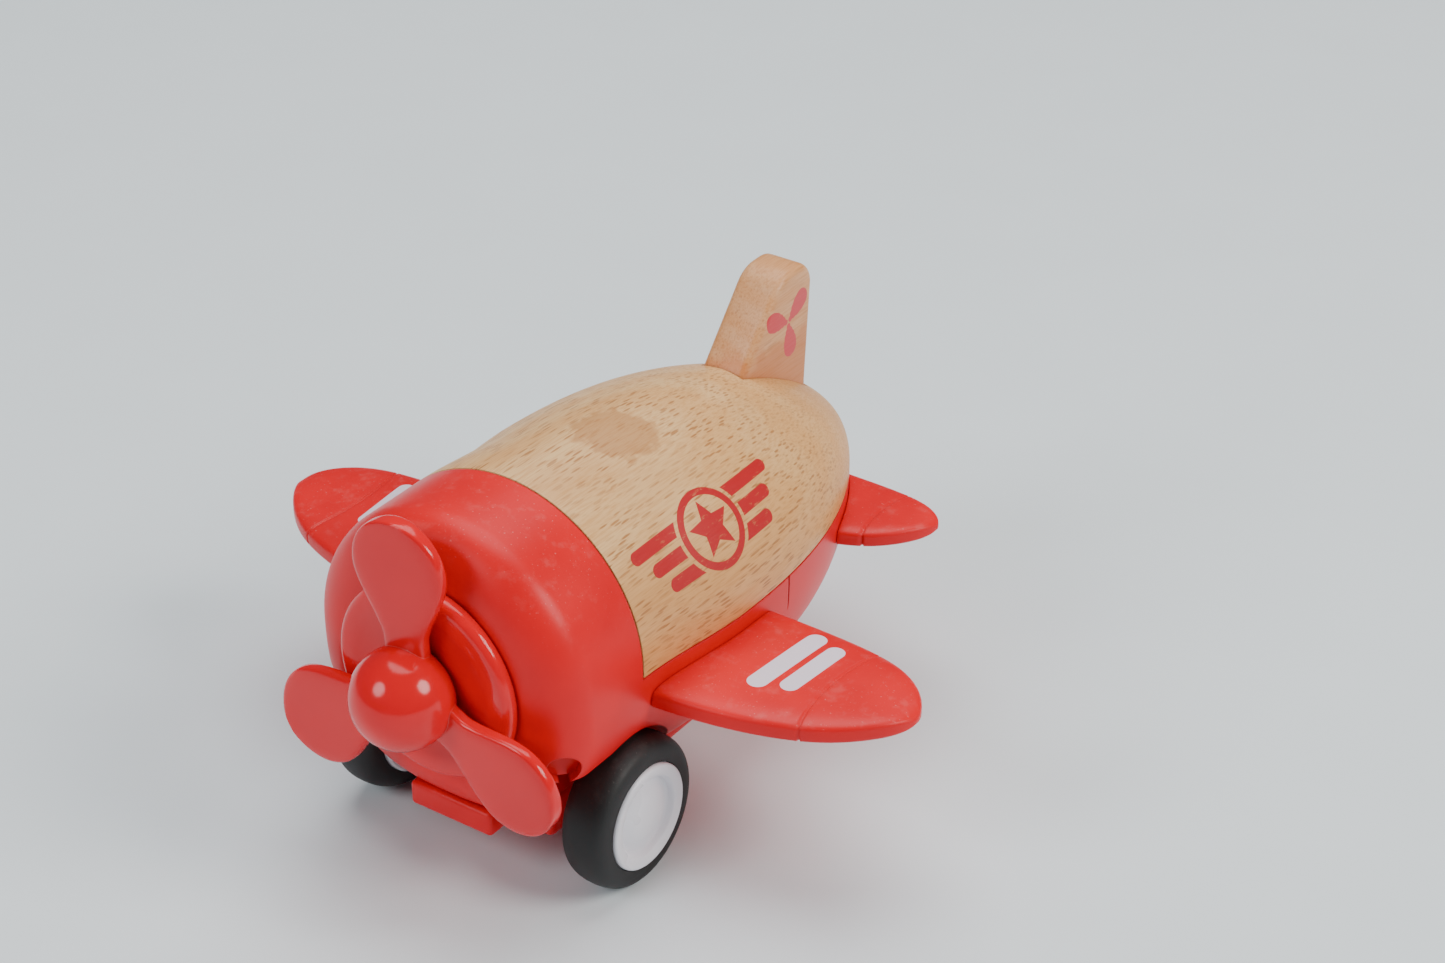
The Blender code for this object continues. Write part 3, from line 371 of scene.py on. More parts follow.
def section(y, inset, count):
    """The outline across the fuselage at one station."""
    wide, top, low = half_width(y) - inset, top_rise(y) - inset, belly_drop(y) - inset
    points = []
    for i in range(count):
        a = 2 * math.pi * i / count
        power = crown_power(y) if math.sin(a) >= 0 else belly_power(y)
        cx, cz = bent(math.cos(a), 2 / power), bent(math.sin(a), 2 / power)
        points.append((wide * cx, y, AXIS_Z + (top if cz >= 0 else low) * cz))
    return points


def fuselage(name, start, end, inset=0.0, count=144, fine=4):
    """The fuselage form between two stations, its skin moved in by inset."""
    short, long = 4 * fine, 10 * fine
    nose = [COWL_Y + COWL_ROUND * (1 - math.cos(math.radians(90 * i / short))) for i in range(short + 1)]
    first = SEAM_Y - 0.5 * MM
    middle = [first + (BODY_WIDEST_Y - first) * i / short for i in range(short + 1)]
    span = TAIL_Y - BODY_WIDEST_Y
    tail = [BODY_WIDEST_Y + span * math.sin(math.radians(90 * i / long)) for i in range(1, long)]
    stations = [y for y in nose + middle + tail if start + 0.1 * MM < y < end - 0.1 * MM]
    return loft(name, [section(y, inset, count) for y in [start, *stations, end]])


# ---------------------------------------------------------------- node tools


def feed(tree, node, **values):
    """Links or sets a node's inputs; a keyword is an input's name, or i0, i1... for its place."""
    for key, value in values.items():
        socket = node.inputs[int(key[1:]) if key[1:].isdigit() else key.replace("_", " ")]
        if isinstance(value, bpy.types.NodeSocket):
            tree.links.new(value, socket)
        else:
            socket.default_value = value
    return node


def add(tree, kind, **values):
    """Adds a node; a keyword is one of its properties or one of its inputs."""
    node = tree.nodes.new(kind)
    for key in [key for key in values if hasattr(node, key)]:
        setattr(node, key, values.pop(key))
    return feed(tree, node, **values)


def maths(tree, operation, a, b=0.0, clamp=False):
    return add(tree, "ShaderNodeMath", operation=operation, use_clamp=clamp, i0=a, i1=b).outputs[0]


def vector_maths(tree, operation, a, b=(0, 0, 0)):
    node = add(tree, "ShaderNodeVectorMath", operation=operation, i0=a, i1=b)
    return node.outputs["Value" if operation in ("DOT_PRODUCT", "DISTANCE", "LENGTH") else "Vector"]


def scaled(tree, vector, scale):
    return add(tree, "ShaderNodeVectorMath", operation="SCALE", i0=vector, Scale=scale).outputs[0]


def xyz(tree, vector):
    return add(tree, "ShaderNodeSeparateXYZ", Vector=vector).outputs


def blend(tree, factor, a, b):
    """A colour mix; a and b are sockets or colours."""
    a, b = (v if isinstance(v, bpy.types.NodeSocket) else (*v, 1) for v in (a, b))
    return add(tree, "ShaderNodeMix", data_type="RGBA", i0=factor, i6=a, i7=b).outputs[2]


def ramp(tree, value, low, high, to_low=0.0, to_high=1.0):
    """Takes a value smoothly from one range to another."""
    node = add(tree, "ShaderNodeMapRange", interpolation_type="SMOOTHSTEP",
               i0=value, i1=low, i2=high, i3=to_low, i4=to_high)
    return node.outputs[0]


def noise(tree, vector, scale, detail=3.0, rough=0.5):
    node = add(tree, "ShaderNodeTexNoise", Vector=vector, Scale=scale, Detail=detail, Roughness=rough)
    return node.outputs[0]


def mapped(tree, vector, scale=(1, 1, 1), place=(0, 0, 0)):
    return add(tree, "ShaderNodeMapping", Vector=vector, Scale=scale, Location=place).outputs[0]


def group(name, inputs, outputs, kind="ShaderNodeTree"):
    """An empty node group and its two end nodes; inputs are (name, kind, default)."""
    tree = bpy.data.node_groups.new(name, kind)
    for title, sort, default in inputs:
        socket = tree.interface.new_socket(title, in_out="INPUT", socket_type=f"NodeSocket{sort}")
        if default is not None:
            socket.default_value = default
    for title, sort in outputs:
        tree.interface.new_socket(title, in_out="OUTPUT", socket_type=f"NodeSocket{sort}")
    return tree, tree.nodes.new("NodeGroupInput"), tree.nodes.new("NodeGroupOutput")


def use(tree, name, **values):
    """Places a shared shader group in a material."""
    return add(tree, "ShaderNodeGroup", node_tree=bpy.data.node_groups[name], label=name, **values)


def make_shared_effects():
    """Shader groups that several finishes share."""
    tree, start, end = group(
        "moulded_skin",
        [("Vector", "Vector", None), ("Grain Size", "Float", 0.3), ("Depth", "Float", 0.2)],
        [("Mottle", "Float"), ("Height", "Float")],
    )
    given = start.outputs
    per_metre = maths(tree, "DIVIDE", 1000.0, given["Grain Size"])
    fine = noise(tree, given["Vector"], per_metre, 2.0)
    mottle = ramp(tree, noise(tree, given["Vector"], 55.0), 0.3, 0.7)
    feed(tree, end, Mottle=mottle, Height=maths(tree, "MULTIPLY", fine, given["Depth"]))

    tree, start, end = group(
        "settled_dust", [("Vector", "Vector", None), ("Amount", "Float", 0.3)], [("Mask", "Float")]
    )
    given = start.outputs
    upward = ramp(tree, xyz(tree, add(tree, "ShaderNodeNewGeometry").outputs["Normal"])["Z"], 0.1, 0.95)
    patches = ramp(tree, noise(tree, given["Vector"], 420.0, 5.0, 0.6), 0.52, 0.72)
    specks = ramp(tree, noise(tree, given["Vector"], 2600.0, 1.0), 0.68, 0.78)
    both = maths(tree, "MAXIMUM", maths(tree, "MULTIPLY", patches, 0.35), specks)
    settled = maths(tree, "MULTIPLY", both, upward)
    feed(tree, end, Mask=maths(tree, "MULTIPLY", settled, given["Amount"]))

    # Rounded-edge normals from a bevel, and a mask of those rounded edges that the red finishes use for a
    # painted highlight along their edges
    tree, start, end = group(
        "rounded_edge_and_sheen", [("Radius", "Float", 0.4 * MM)], [("Normal", "Vector"), ("Mask", "Float")]
    )
    rounded = add(tree, "ShaderNodeBevel", samples=4, Radius=start.outputs["Radius"]).outputs[0]
    flat = add(tree, "ShaderNodeNewGeometry").outputs["Normal"]
    turn = vector_maths(tree, "DOT_PRODUCT", rounded, flat)
    feed(tree, end, Normal=rounded, Mask=ramp(tree, turn, 0.995, 0.86))

    tree, start, end = group(
        "round_bar",
        [*((name, "Vector", None) for name in ("Point", "From", "To")), ("Radius", "Float", 1 * MM)],
        [("Mask", "Float")],
    )
    given = start.outputs
    along = vector_maths(tree, "SUBTRACT", given["To"], given["From"])
    out = vector_maths(tree, "SUBTRACT", given["Point"], given["From"])
    dot = vector_maths(tree, "DOT_PRODUCT", out, along)
    share = maths(tree, "DIVIDE", dot, vector_maths(tree, "DOT_PRODUCT", along, along), clamp=True)
    gap = vector_maths(tree, "DISTANCE", out, scaled(tree, along, share))
    edge = maths(tree, "SUBTRACT", gap, given["Radius"])
    feed(tree, end, Mask=ramp(tree, edge, 0.04 * MM, -0.04 * MM))


def shader_of(name):
    """A new material: its tree, its Principled BSDF and its Object coordinates."""
    made = bpy.data.materials.new(name)
    made.use_nodes = True
    tree = made.node_tree
    place = add(tree, "ShaderNodeTexCoord").outputs["Object"]
    return made, tree, tree.nodes["Principled BSDF"], place


def bump(tree, height, distance, strength, **normal):
    node = add(tree, "ShaderNodeBump", Height=height, Distance=distance, Strength=strength, **normal)
    return node.outputs[0]


def toned(colour, *factors):
    """A colour with each channel times its own factor, or all of them times one."""
    return tuple(c * f for c, f in zip(colour, factors if len(factors) == 3 else factors * 3))


def bar(tree, point, start, end, radius):
    """A round-ended bar between two flat points, in millimetres."""
    ends = {"From": (start[0] * MM, start[1] * MM, 0), "To": (end[0] * MM, end[1] * MM, 0)}
    return use(tree, "round_bar", Point=point, Radius=radius * MM, **ends).outputs[0]


def joined(tree, masks):
    total = masks[0]
    for mask in masks[1:]:
        total = maths(tree, "MAXIMUM", total, mask)
    return total


# ---------------------------------------------------------------- finishes


def red_satin(name, colour, roughness, marks=None):
    """Moulded red plastic with a fine satin skin and a painted highlight along its rounded edges."""
    made, tree, shader, place = shader_of(name)
    skin = use(tree, "moulded_skin", Vector=place, Grain_Size=0.45, Depth=0.35)
    edge_and_sheen = use(tree, "rounded_edge_and_sheen", Radius=0.35 * MM)
    dust = use(tree, "settled_dust", Vector=place, Amount=0.16)
    tint = blend(tree, skin.outputs["Mottle"], toned(colour, 0.86), colour)
    # Painted highlight: the rounded edges are tinted paler and pinker, standing in for the light caught
    # along them
    pale = tuple(0.8 * c + 0.2 * w for c, w in zip(colour, (0.95, 0.2, 0.18)))
    tint = blend(tree, maths(tree, "MULTIPLY", edge_and_sheen.outputs["Mask"], 0.35), tint, pale)
    rough = ramp(tree, skin.outputs["Mottle"], 0.0, 1.0, roughness - 0.03, roughness + 0.03)
    if marks:
        mask = marks(tree, place)
        tint = blend(tree, mask, tint, (0.80, 0.70, 0.80))
        rough = ramp(tree, mask, 0.0, 1.0, rough, 0.42)
    tint = blend(tree, dust.outputs["Mask"], tint, (0.85, 0.6, 0.55))
    normal = bump(tree, skin.outputs["Height"], 0.03 * MM, 0.6, Normal=edge_and_sheen.outputs["Normal"])
    feed(tree, shader, Base_Color=tint, Roughness=rough, Normal=normal, IOR=1.5, Specular_IOR_Level=0.26)
    return made


def wing_stripes(tree, place):
    """Two round-ended bars on the top of each wing."""
    parts = xyz(tree, place)
    out = maths(tree, "ABSOLUTE", parts["X"])
    flat = add(tree, "ShaderNodeCombineXYZ", X=out, Y=parts["Y"]).outputs[0]
    bars = joined(tree, [bar(tree, flat, *ends_and_radius) for ends_and_radius in WING_BARS])
    return maths(tree, "MULTIPLY", bars, ramp(tree, parts["Z"], 30.2 * MM, 30.3 * MM))


def red_gloss(name, colour):
    """Polished red plastic, as on the propeller, with a painted highlight along its rounded edges."""
    made, tree, shader, place = shader_of(name)
    skin = use(tree, "moulded_skin", Vector=place, Grain_Size=2.5, Depth=0.5)
    edge_and_sheen = use(tree, "rounded_edge_and_sheen", Radius=0.3 * MM)
    tint = blend(tree, skin.outputs["Mottle"], toned(colour, 0.93), colour)
    # Painted highlight: the rounded edges are tinted paler, standing in for the light caught along them
    tint = blend(tree, maths(tree, "MULTIPLY", edge_and_sheen.outputs["Mask"], 0.3), tint, (0.9, 0.2, 0.17))
    smear = ramp(tree, noise(tree, mapped(tree, place, (1, 1, 0.3)), 240.0, 4.0), 0.35, 0.7, 0.10, 0.19)
    normal = bump(tree, skin.outputs["Height"], 0.02 * MM, 0.25, Normal=edge_and_sheen.outputs["Normal"])
    feed(tree, shader, Base_Color=tint, Roughness=smear, Normal=normal, IOR=1.52, Coat_Weight=0.06,
         Coat_Roughness=0.05, Specular_IOR_Level=0.32)
    return made


def print_on_body(tree, place):
    """The printed badge on each side of the wood: a star in a ring with three bars either way."""
    parts = xyz(tree, place)
    out = maths(tree, "ABSOLUTE", parts["X"])
    up = maths(tree, "SUBTRACT", parts["Z"], AXIS_Z)
    arc = maths(tree, "MULTIPLY", maths(tree, "ARCTAN2", out, up), PRINT_R)
    u = maths(tree, "SUBTRACT", parts["Y"], RING_Y)
    v = maths(tree, "SUBTRACT", RING_ARC, arc)
    flat = add(tree, "ShaderNodeCombineXYZ", X=u, Y=v).outputs[0]
    radius = vector_maths(tree, "LENGTH", flat)
    line = maths(tree, "ABSOLUTE", maths(tree, "SUBTRACT", radius, RING_R - 0.5 * MM))
    masks = [ramp(tree, line, 0.66 * MM, 0.58 * MM)]
    outside = ramp(tree, radius, RING_R + 0.75 * MM, RING_R + 0.85 * MM)
    for height, *ends in BADGE_BARS:
        for end in ends:
            stripe = bar(tree, flat, (math.copysign(BAR_START, end), height), (end, height), BAR_R)
            masks.append(maths(tree, "MULTIPLY", stripe, outside))
    fifth = 2 * math.pi / 5
    in_fifth = maths(tree, "FLOORED_MODULO", maths(tree, "ARCTAN2", u, v), fifth)
    folded = maths(tree, "ABSOLUTE", maths(tree, "SUBTRACT", in_fifth, fifth / 2))
    tip_angle = maths(tree, "SUBTRACT", fifth / 2, folded)
    along = maths(tree, "MULTIPLY", radius, maths(tree, "COSINE", tip_angle))
    aside = maths(tree, "MULTIPLY", radius, maths(tree, "SINE", tip_angle))
    reach = maths(tree, "ADD", along, maths(tree, "DIVIDE", aside, math.tan(math.radians(24))))
    masks.append(ramp(tree, reach, STAR_TIP, STAR_TIP - 0.15 * MM))
    return joined(tree, masks)


def petals_on_fin(tree, place):
    """A small three-petal print on each side of the fin."""
    parts = xyz(tree, place)
    flat = add(tree, "ShaderNodeCombineXYZ", X=parts["Y"], Y=parts["Z"]).outputs[0]
    masks = []
    for turn in map(math.radians, PETALS):
        way = Vector((math.cos(turn), math.sin(turn)))
        masks += [bar(tree, flat, PETAL_CENTRE + way * near, PETAL_CENTRE + way * far, radius)
                  for near, far, radius in PETAL_FORM]
    side = ramp(tree, maths(tree, "ABSOLUTE", parts["X"]), 3.2 * MM, 3.4 * MM)
    return maths(tree, "MULTIPLY", joined(tree, masks), side)


def knot_on_top(tree, place, tint, warm):
    """The dark oval patch in the top of the body."""
    gap = mapped(tree, place, (1, 0.86, 0.0), (-4.3 * MM, 2.6 * MM, 0))
    wobble = ramp(tree, noise(tree, place, 330.0, 2.0), 0.3, 0.7, -0.9 * MM, 0.9 * MM)
    far = maths(tree, "ADD", vector_maths(tree, "LENGTH", gap), wobble)
    stain = ramp(tree, far, 6.3 * MM, 5.0 * MM, 0.0, 0.55)
    return blend(tree, stain, tint, toned(warm, 0.62, 0.50, 0.42))


def darker_fin_foot(tree, place, tint, warm):
    """Darkens the fin's colour towards its foot, along a wandering line."""
    wander = ramp(tree, noise(tree, place, 260.0, 3.0), 0.3, 0.7, -1.2 * MM, 1.2 * MM)
    height = maths(tree, "ADD", xyz(tree, place)["Z"], wander)
    foot_darkening = ramp(tree, height, 55.8 * MM, 53.0 * MM, 0.0, 0.6)
    return blend(tree, foot_darkening, tint, toned(warm, 0.86, 0.62, 0.42))


def lacquered_beech(name, pale, warm, ink, marks, local_darkening):
    """Beech along Y: growth figure, fine pores, short dark flecks, a clear satin lacquer and a print."""
    made, tree, shader, place = shader_of(name)
    parts = xyz(tree, place)
    sway = noise(tree, mapped(tree, place, (1, 0.25, 1)), 60.0, 2.0)
    drift = scaled(tree, add(tree, "ShaderNodeCombineXYZ", X=sway, Z=sway).outputs[0], 0.004)
    swept = vector_maths(tree, "ADD", place, drift)
    rings = add(tree, "ShaderNodeTexWave", wave_type="RINGS", rings_direction="Y",
                Vector=mapped(tree, swept, (1, 0.06, 1), (0.012, 0, -0.012)), Scale=95.0,
                Distortion=2.2, Detail=2.0, Detail_Scale=1.2)
    figure = ramp(tree, rings.outputs[1], 0.1, 0.9)
    cloud = noise(tree, mapped(tree, place, (1, 0.35, 1)), 95.0, 4.0)
    fibre = noise(tree, mapped(tree, place, (1, 0.045, 1)), 3600.0, 3.0, 0.6)
    low = maths(tree, "SUBTRACT", AXIS_Z + 16 * MM, parts["Z"])
    warmth = ramp(tree, low, -8 * MM, 20 * MM)
    deep, brown = toned(warm, 0.80, 0.70, 0.56), toned(warm, 0.50, 0.36, 0.24)
    tint = blend(tree, maths(tree, "MULTIPLY", figure, 0.35), pale, warm)
    tint = blend(tree, maths(tree, "MULTIPLY", warmth, 0.75), tint, warm)
    tint = blend(tree, ramp(tree, cloud, 0.45, 0.75, 0.0, 0.30), tint, deep)
    tint = blend(tree, ramp(tree, fibre, 0.40, 0.68, 0.0, 0.48), tint, deep)
    cell = add(tree, "ShaderNodeTexVoronoi", feature="F1", Vector=mapped(tree, place, (1, 0.13, 1)),
               Scale=2000.0, Randomness=1.0).outputs
    chosen = ramp(tree, xyz(tree, cell["Color"])["X"], 0.22, 0.30)
    fleck = maths(tree, "MULTIPLY", ramp(tree, cell["Distance"], 0.44, 0.26), chosen)
    patch = ramp(tree, noise(tree, place, 130.0, 2.0), 0.36, 0.60, 0.45, 1.0)
    fading = maths(tree, "MULTIPLY", patch, ramp(tree, parts["Y"], 44 * MM, 18 * MM, 0.25, 1.0))
    fleck = maths(tree, "MULTIPLY", fleck, fading)
    tint = blend(tree, maths(tree, "MULTIPLY", fleck, 0.72), tint, brown)
    tint = local_darkening(tree, place, tint, warm)
    worn = noise(tree, mapped(tree, place, (1, 0.3, 1)), 1500.0, 4.0, 0.65)
    mask = maths(tree, "MULTIPLY", marks(tree, place), ramp(tree, worn, 0.30, 0.42, 0.72, 1.0))
    tint = blend(tree, mask, tint, ink)
    rough = ramp(tree, fibre, 0.3, 0.7, 0.40, 0.52)
    edge_and_sheen = use(tree, "rounded_edge_and_sheen", Radius=0.3 * MM)
    height = maths(tree, "SUBTRACT", maths(tree, "MULTIPLY", fibre, 0.25), fleck)
    normal = bump(tree, height, 0.035 * MM, 0.6, Normal=edge_and_sheen.outputs["Normal"])
    feed(tree, shader, Base_Color=tint, Roughness=rough, Normal=normal, IOR=1.48, Coat_Weight=0.12,
         Coat_Roughness=0.28)
    return made


def tyre_rubber(name):
    made, tree, shader, place = shader_of(name)
    skin = use(tree, "moulded_skin", Vector=place, Grain_Size=0.25, Depth=0.8)
    dust = use(tree, "settled_dust", Vector=place, Amount=0.35)
    tint = blend(tree, skin.outputs["Mottle"], (0.0055, 0.0052, 0.0052), (0.011, 0.0105, 0.0105))
    tint = blend(tree, dust.outputs["Mask"], tint, (0.12, 0.11, 0.10))
    rough = ramp(tree, skin.outputs["Mottle"], 0.0, 1.0, 0.52, 0.66)
    normal = bump(tree, skin.outputs["Height"], 0.05 * MM, 0.5)
    feed(tree, shader, Base_Color=tint, Roughness=rough, Normal=normal)
    return made


def plain_plastic(name, colour, roughness):
    made, tree, shader, place = shader_of(name)
    skin = use(tree, "moulded_skin", Vector=place, Grain_Size=0.6, Depth=0.4)
    edge_and_sheen = use(tree, "rounded_edge_and_sheen", Radius=0.3 * MM)
    tint = blend(tree, skin.outputs["Mottle"], toned(colour, 0.93), colour)
    rough = ramp(tree, skin.outputs["Mottle"], 0.0, 1.0, roughness, roughness + 0.07)
    normal = bump(tree, skin.outputs["Height"], 0.03 * MM, 0.4, Normal=edge_and_sheen.outputs["Normal"])
    feed(tree, shader, Base_Color=tint, Roughness=rough, Normal=normal, IOR=1.5,
         Subsurface_Weight=0.08, Subsurface_Radius=(2 * MM, 2 * MM, 2 * MM))
    return made


def turned_metal(name, colour, roughness):
    """Drawn or turned metal with fine scratches."""
    made, tree, shader, place = shader_of(name)
    lines = noise(tree, mapped(tree, place, (0.05, 1, 1)), 5200.0, 3.0, 0.6)
    spots = ramp(tree, noise(tree, place, 300.0, 3.0), 0.35, 0.7, 0.0, 0.5)
    tint = blend(tree, spots, colour, toned(colour, 0.7))
    rough = ramp(tree, lines, 0.3, 0.7, roughness - 0.07, roughness + 0.1)
    normal = bump(tree, lines, 0.01 * MM, 0.4)
    feed(tree, shader, Base_Color=tint, Roughness=rough, Metallic=1.0, Normal=normal)
    return made


FINISH = {}


def make_finishes(colours):
    """Makes every material, under the short names that the operators use."""
    make_shared_effects()
    red, gloss = tuple(colours.red), tuple(colours.gloss_red)
    pale, warm, ink = tuple(colours.wood_pale), tuple(colours.wood_warm), tuple(colours.print_red)
    fin_pale, fin_warm = toned(pale, 0.92, 0.76, 0.78), toned(warm, 0.98, 0.84, 0.78)
    fin_ink = (0.66, 0.035, 0.045)
    FINISH.update(
        red=red_satin("red_satin_plastic", red, 0.36),
        wing=red_satin("red_wing_plastic", red, 0.36, wing_stripes),
        gloss=red_gloss("red_gloss_plastic", gloss),
        beech=lacquered_beech("lacquered_beech", pale, warm, ink, print_on_body, knot_on_top),
        fin=lacquered_beech("fin_beech", fin_pale, fin_warm, fin_ink, petals_on_fin, darker_fin_foot),
        rubber=tyre_rubber("tyre_rubber"),
        white=plain_plastic("white_hub_plastic", (0.83, 0.82, 0.87), 0.22),
        nylon=plain_plastic("gear_nylon", (0.74, 0.70, 0.58), 0.4),
        grey=plain_plastic("motor_case_plastic", (0.16, 0.17, 0.19), 0.45),
        steel=turned_metal("bright_steel", (0.60, 0.60, 0.62), 0.28),
        spring=turned_metal("blued_spring_steel", (0.22, 0.25, 0.34), 0.3),
        brass=turned_metal("bush_brass", (0.75, 0.50, 0.18), 0.3),
    )


# ---------------------------------------------------------------- settings


class AirplaneFinishSettings(bpy.types.PropertyGroup):
    """Colours of the plastic, the wood and the print."""

    red: bpy.props.FloatVectorProperty(
        name="Satin red", description="Cowl, tub, wings and tray", subtype="COLOR", size=3,
        default=(0.80, 0.004, 0.010), min=0, max=1)
    gloss_red: bpy.props.FloatVectorProperty(
        name="Gloss red", description="Propeller and nose disc", subtype="COLOR", size=3,
        default=(0.80, 0.004, 0.011), min=0, max=1)
    wood_pale: bpy.props.FloatVectorProperty(
        name="Pale wood", description="Beech on top", subtype="COLOR", size=3,
        default=(0.84, 0.52, 0.23), min=0, max=1)
    wood_warm: bpy.props.FloatVectorProperty(
        name="Warm wood", description="Beech low on the sides", subtype="COLOR", size=3,
        default=(0.72, 0.32, 0.085), min=0, max=1)
    print_red: bpy.props.FloatVectorProperty(
        name="Print red", description="Ink of the badge", subtype="COLOR", size=3,
        default=(0.50, 0.006, 0.010), min=0, max=1)


class AirplaneSizeSettings(bpy.types.PropertyGroup):
    """Sizes of the pieces that a user would change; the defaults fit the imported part."""

    propeller_radius: bpy.props.FloatProperty(
        name="Propeller radius", description="Axis to blade tip", default=28.0 * MM, unit="LENGTH")
    blade_width: bpy.props.FloatProperty(
        name="Blade width", description="Across the paddle", default=15.6 * MM, unit="LENGTH")
    blade_thickness: bpy.props.FloatProperty(
        name="Blade thickness", description="Front to back", default=2.6 * MM, unit="LENGTH")
    wing_thickness: bpy.props.FloatProperty(
        name="Wing thickness", description="At the root", default=4.4 * MM, unit="LENGTH")
    tailplane_thickness: bpy.props.FloatProperty(
        name="Tailplane thickness", description="At the root", default=3.6 * MM, unit="LENGTH")
    fin_thickness: bpy.props.FloatProperty(
        name="Fin thickness", description="Across the fin", default=8.0 * MM, unit="LENGTH")


class AirplaneStageSettings(bpy.types.PropertyGroup):
    """Floor, light and camera."""

    floor_colour: bpy.props.FloatVectorProperty(
        name="Floor", description="Colour of the floor", subtype="COLOR", size=3,
        default=(0.80, 0.87, 0.90), min=0, max=1)
    key_power: bpy.props.FloatProperty(
        name="Key light", description="Right-hand light", default=5.6, unit="POWER")
    fill_power: bpy.props.FloatProperty(
        name="Fill light", description="Left-hand light", default=3.2, unit="POWER")
    top_power: bpy.props.FloatProperty(
        name="Top light", description="Overhead light", default=8.5, unit="POWER")
    sky: bpy.props.FloatProperty(
        name="Sky", description="Strength of the light all round", default=0.15)
    lens: bpy.props.FloatProperty(
        name="Lens", description="Focal length", default=76.63, unit="CAMERA")


# ---------------------------------------------------------------- tub and wood


def well_cutters(inner_x, skirt_z, radius):
    """What the two wheel wells take away: below the skirt ahead of the axle, and an arch over it."""
    made = []
    y, z = AXLE.y, AXLE.z
    for side in (1, -1):
        low, high = sorted((side * inner_x, side * CLEAR_X))
        made.append(box("front", (low, COWL_Y - CLEAR, -1 * MM), (high, y, skirt_z)))
        made.append(crosswise("arch", low, high, y, z, radius, 128))
        made.append(box("foot", (low, y - radius, -2 * MM), (high, y + radius, z)))
    return made


def corner_rod(side, radius, start, end):
    """A rod through a lower front corner, between two distances from the floor of its blind hole."""
    out = Vector((side, -1, 0)).normalized()
    floor = Vector((side * CORNER_HOLE.x, CORNER_HOLE.y, CORNER_HOLE.z))
    return rod("corner", floor + out * start, floor + out * end, radius)


def tab_box(side, tab, spare=0.0):
    """The tab that plugs a wing or a tailplane into the tub, or the slot for it."""
    front, back, z, root_y = tab
    root = half_width(root_y)
    low, high = sorted((side * (root - TAB_REACH - spare), side * (root + TAB_REACH)))
    half = TAB_HALF + spare
    return box("tab", (low, front - spare, z - half), (high, back + spare, z + half))


class AIRPLANE_OT_tub(bpy.types.Operator):
    """The cowl and the lower tub, one red moulding with wheel wells, screw posts and slots"""

    bl_idname = "airplane.make_tub"
    bl_label = "Cowl and tub"

    def execute(self, context):
        tub = fuselage("cowl_and_tub", COWL_Y, TAIL_Y)
        hollow = fuselage("hollow", COWL_Y + WALL, TAIL_Y - 2 * WALL, WALL, 72, 2)
        shape(tub, [shape(hollow, self.solid_inside())])
        shape(tub, self.openings())
        finish_piece(tub, FINISH["red"], "airframe", ["fuselage_shell"])
        return {"FINISHED"}

    def solid_inside(self):
        """What stays solid inside the tub: the well walls, the screw posts and the bosses."""
        solid = well_cutters(WELL_X - WALL, SKIRT_Z + WALL, WELL_R + WALL)
        for y in POST_YS:
            solid.append(upright(0, y, AXIS_Z - belly_drop(y) + 0.8 * MM, SEAM_Z + 3 * MM, POST_R))
        for side in (1, -1):
            solid.append(corner_rod(side, CORNER_HOLE_R + CORNER_BACKING, -CORNER_BACKING, CORNER_OUT))
            for y in TRAY_SCREW_YS:
                solid.append(upright(side * TRAY_SCREW_X, y, 4 * MM, 24 * MM, BOSS_R))
        belly_z = AXIS_Z - belly_drop(TAIL_AXLE.y)
        solid.append(upright(0, TAIL_AXLE.y, belly_z, belly_z + 8 * MM, 3 * MM))
        return solid

    def openings(self):
        """What is cut from the tub: the seat for the wood, the wells, the belly, slots and holes."""
        tray_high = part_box("belly_tray")[1]
        top_z = AXIS_Z + COWL_R + 5 * MM
        cuts = [box("above", (-CLEAR_X, SEAM_Y, SEAM_Z), (CLEAR_X, TAIL_Y + 5 * MM, top_z))]
        cuts += well_cutters(WELL_X, SKIRT_Z, WELL_R)
        cuts.append(box("belly", (-WELL_X - 1 * MM, TRAY_FRONT_Y - GAP, 0),
                        (WELL_X + 1 * MM, tray_high.y + GAP, tray_high.z + GAP)))
        cuts.append(rod("seat", (0, COWL_Y - 1 * MM, AXIS_Z), (0, COWL_Y + 4 * MM, AXIS_Z), DISC_SEAT_R))
        for y in POST_YS:
            cuts.append(upright(0, y, 0, SEAM_Z - 3 * MM, SINK_R))
            cuts.append(upright(0, y, 0, SEAM_Z + 1 * MM, HOLE_R))
        for side in (1, -1):
            cuts.append(corner_rod(side, CORNER_HOLE_R, 0.0, CORNER_OUT))
            for y in TRAY_SCREW_YS:
                cuts.append(upright(side * TRAY_SCREW_X, y, 5 * MM, 20 * MM, HOLE_R))
            low, high = sorted((side * (half_width(10.6 * MM) - PARTING_DEPTH), side * CLEAR_X))
            cuts.append(box("parting", (low, PARTING_YS[0], PARTING_Z),
                            (high, PARTING_YS[1], SEAM_Z + 1 * MM)))
            cuts += [tab_box(side, tab, GAP) for tab in (WING_TAB, STAB_TAB)]
        y = TAIL_AXLE.y
        cuts.append(upright(0, y, 5 * MM, AXIS_Z - belly_drop(y) + 6 * MM, HOLE_R))
        return cuts


def fillet(before, corner, after, radius, steps=12):
    """Points that round a corner of a flat outline."""
    corner = Vector(corner)
    u, v = (Vector(before) - corner).normalized(), (Vector(after) - corner).normalized()
    half = u.angle(v) / 2
    centre = corner + (u + v).normalized() * (radius / math.sin(half))
    start = corner + u * (radius / math.tan(half)) - centre
    turn = -math.copysign(math.pi - 2 * half, u.cross(v))
    return [tuple(centre + Matrix.Rotation(turn * i / steps, 2) @ start) for i in range(steps + 1)]


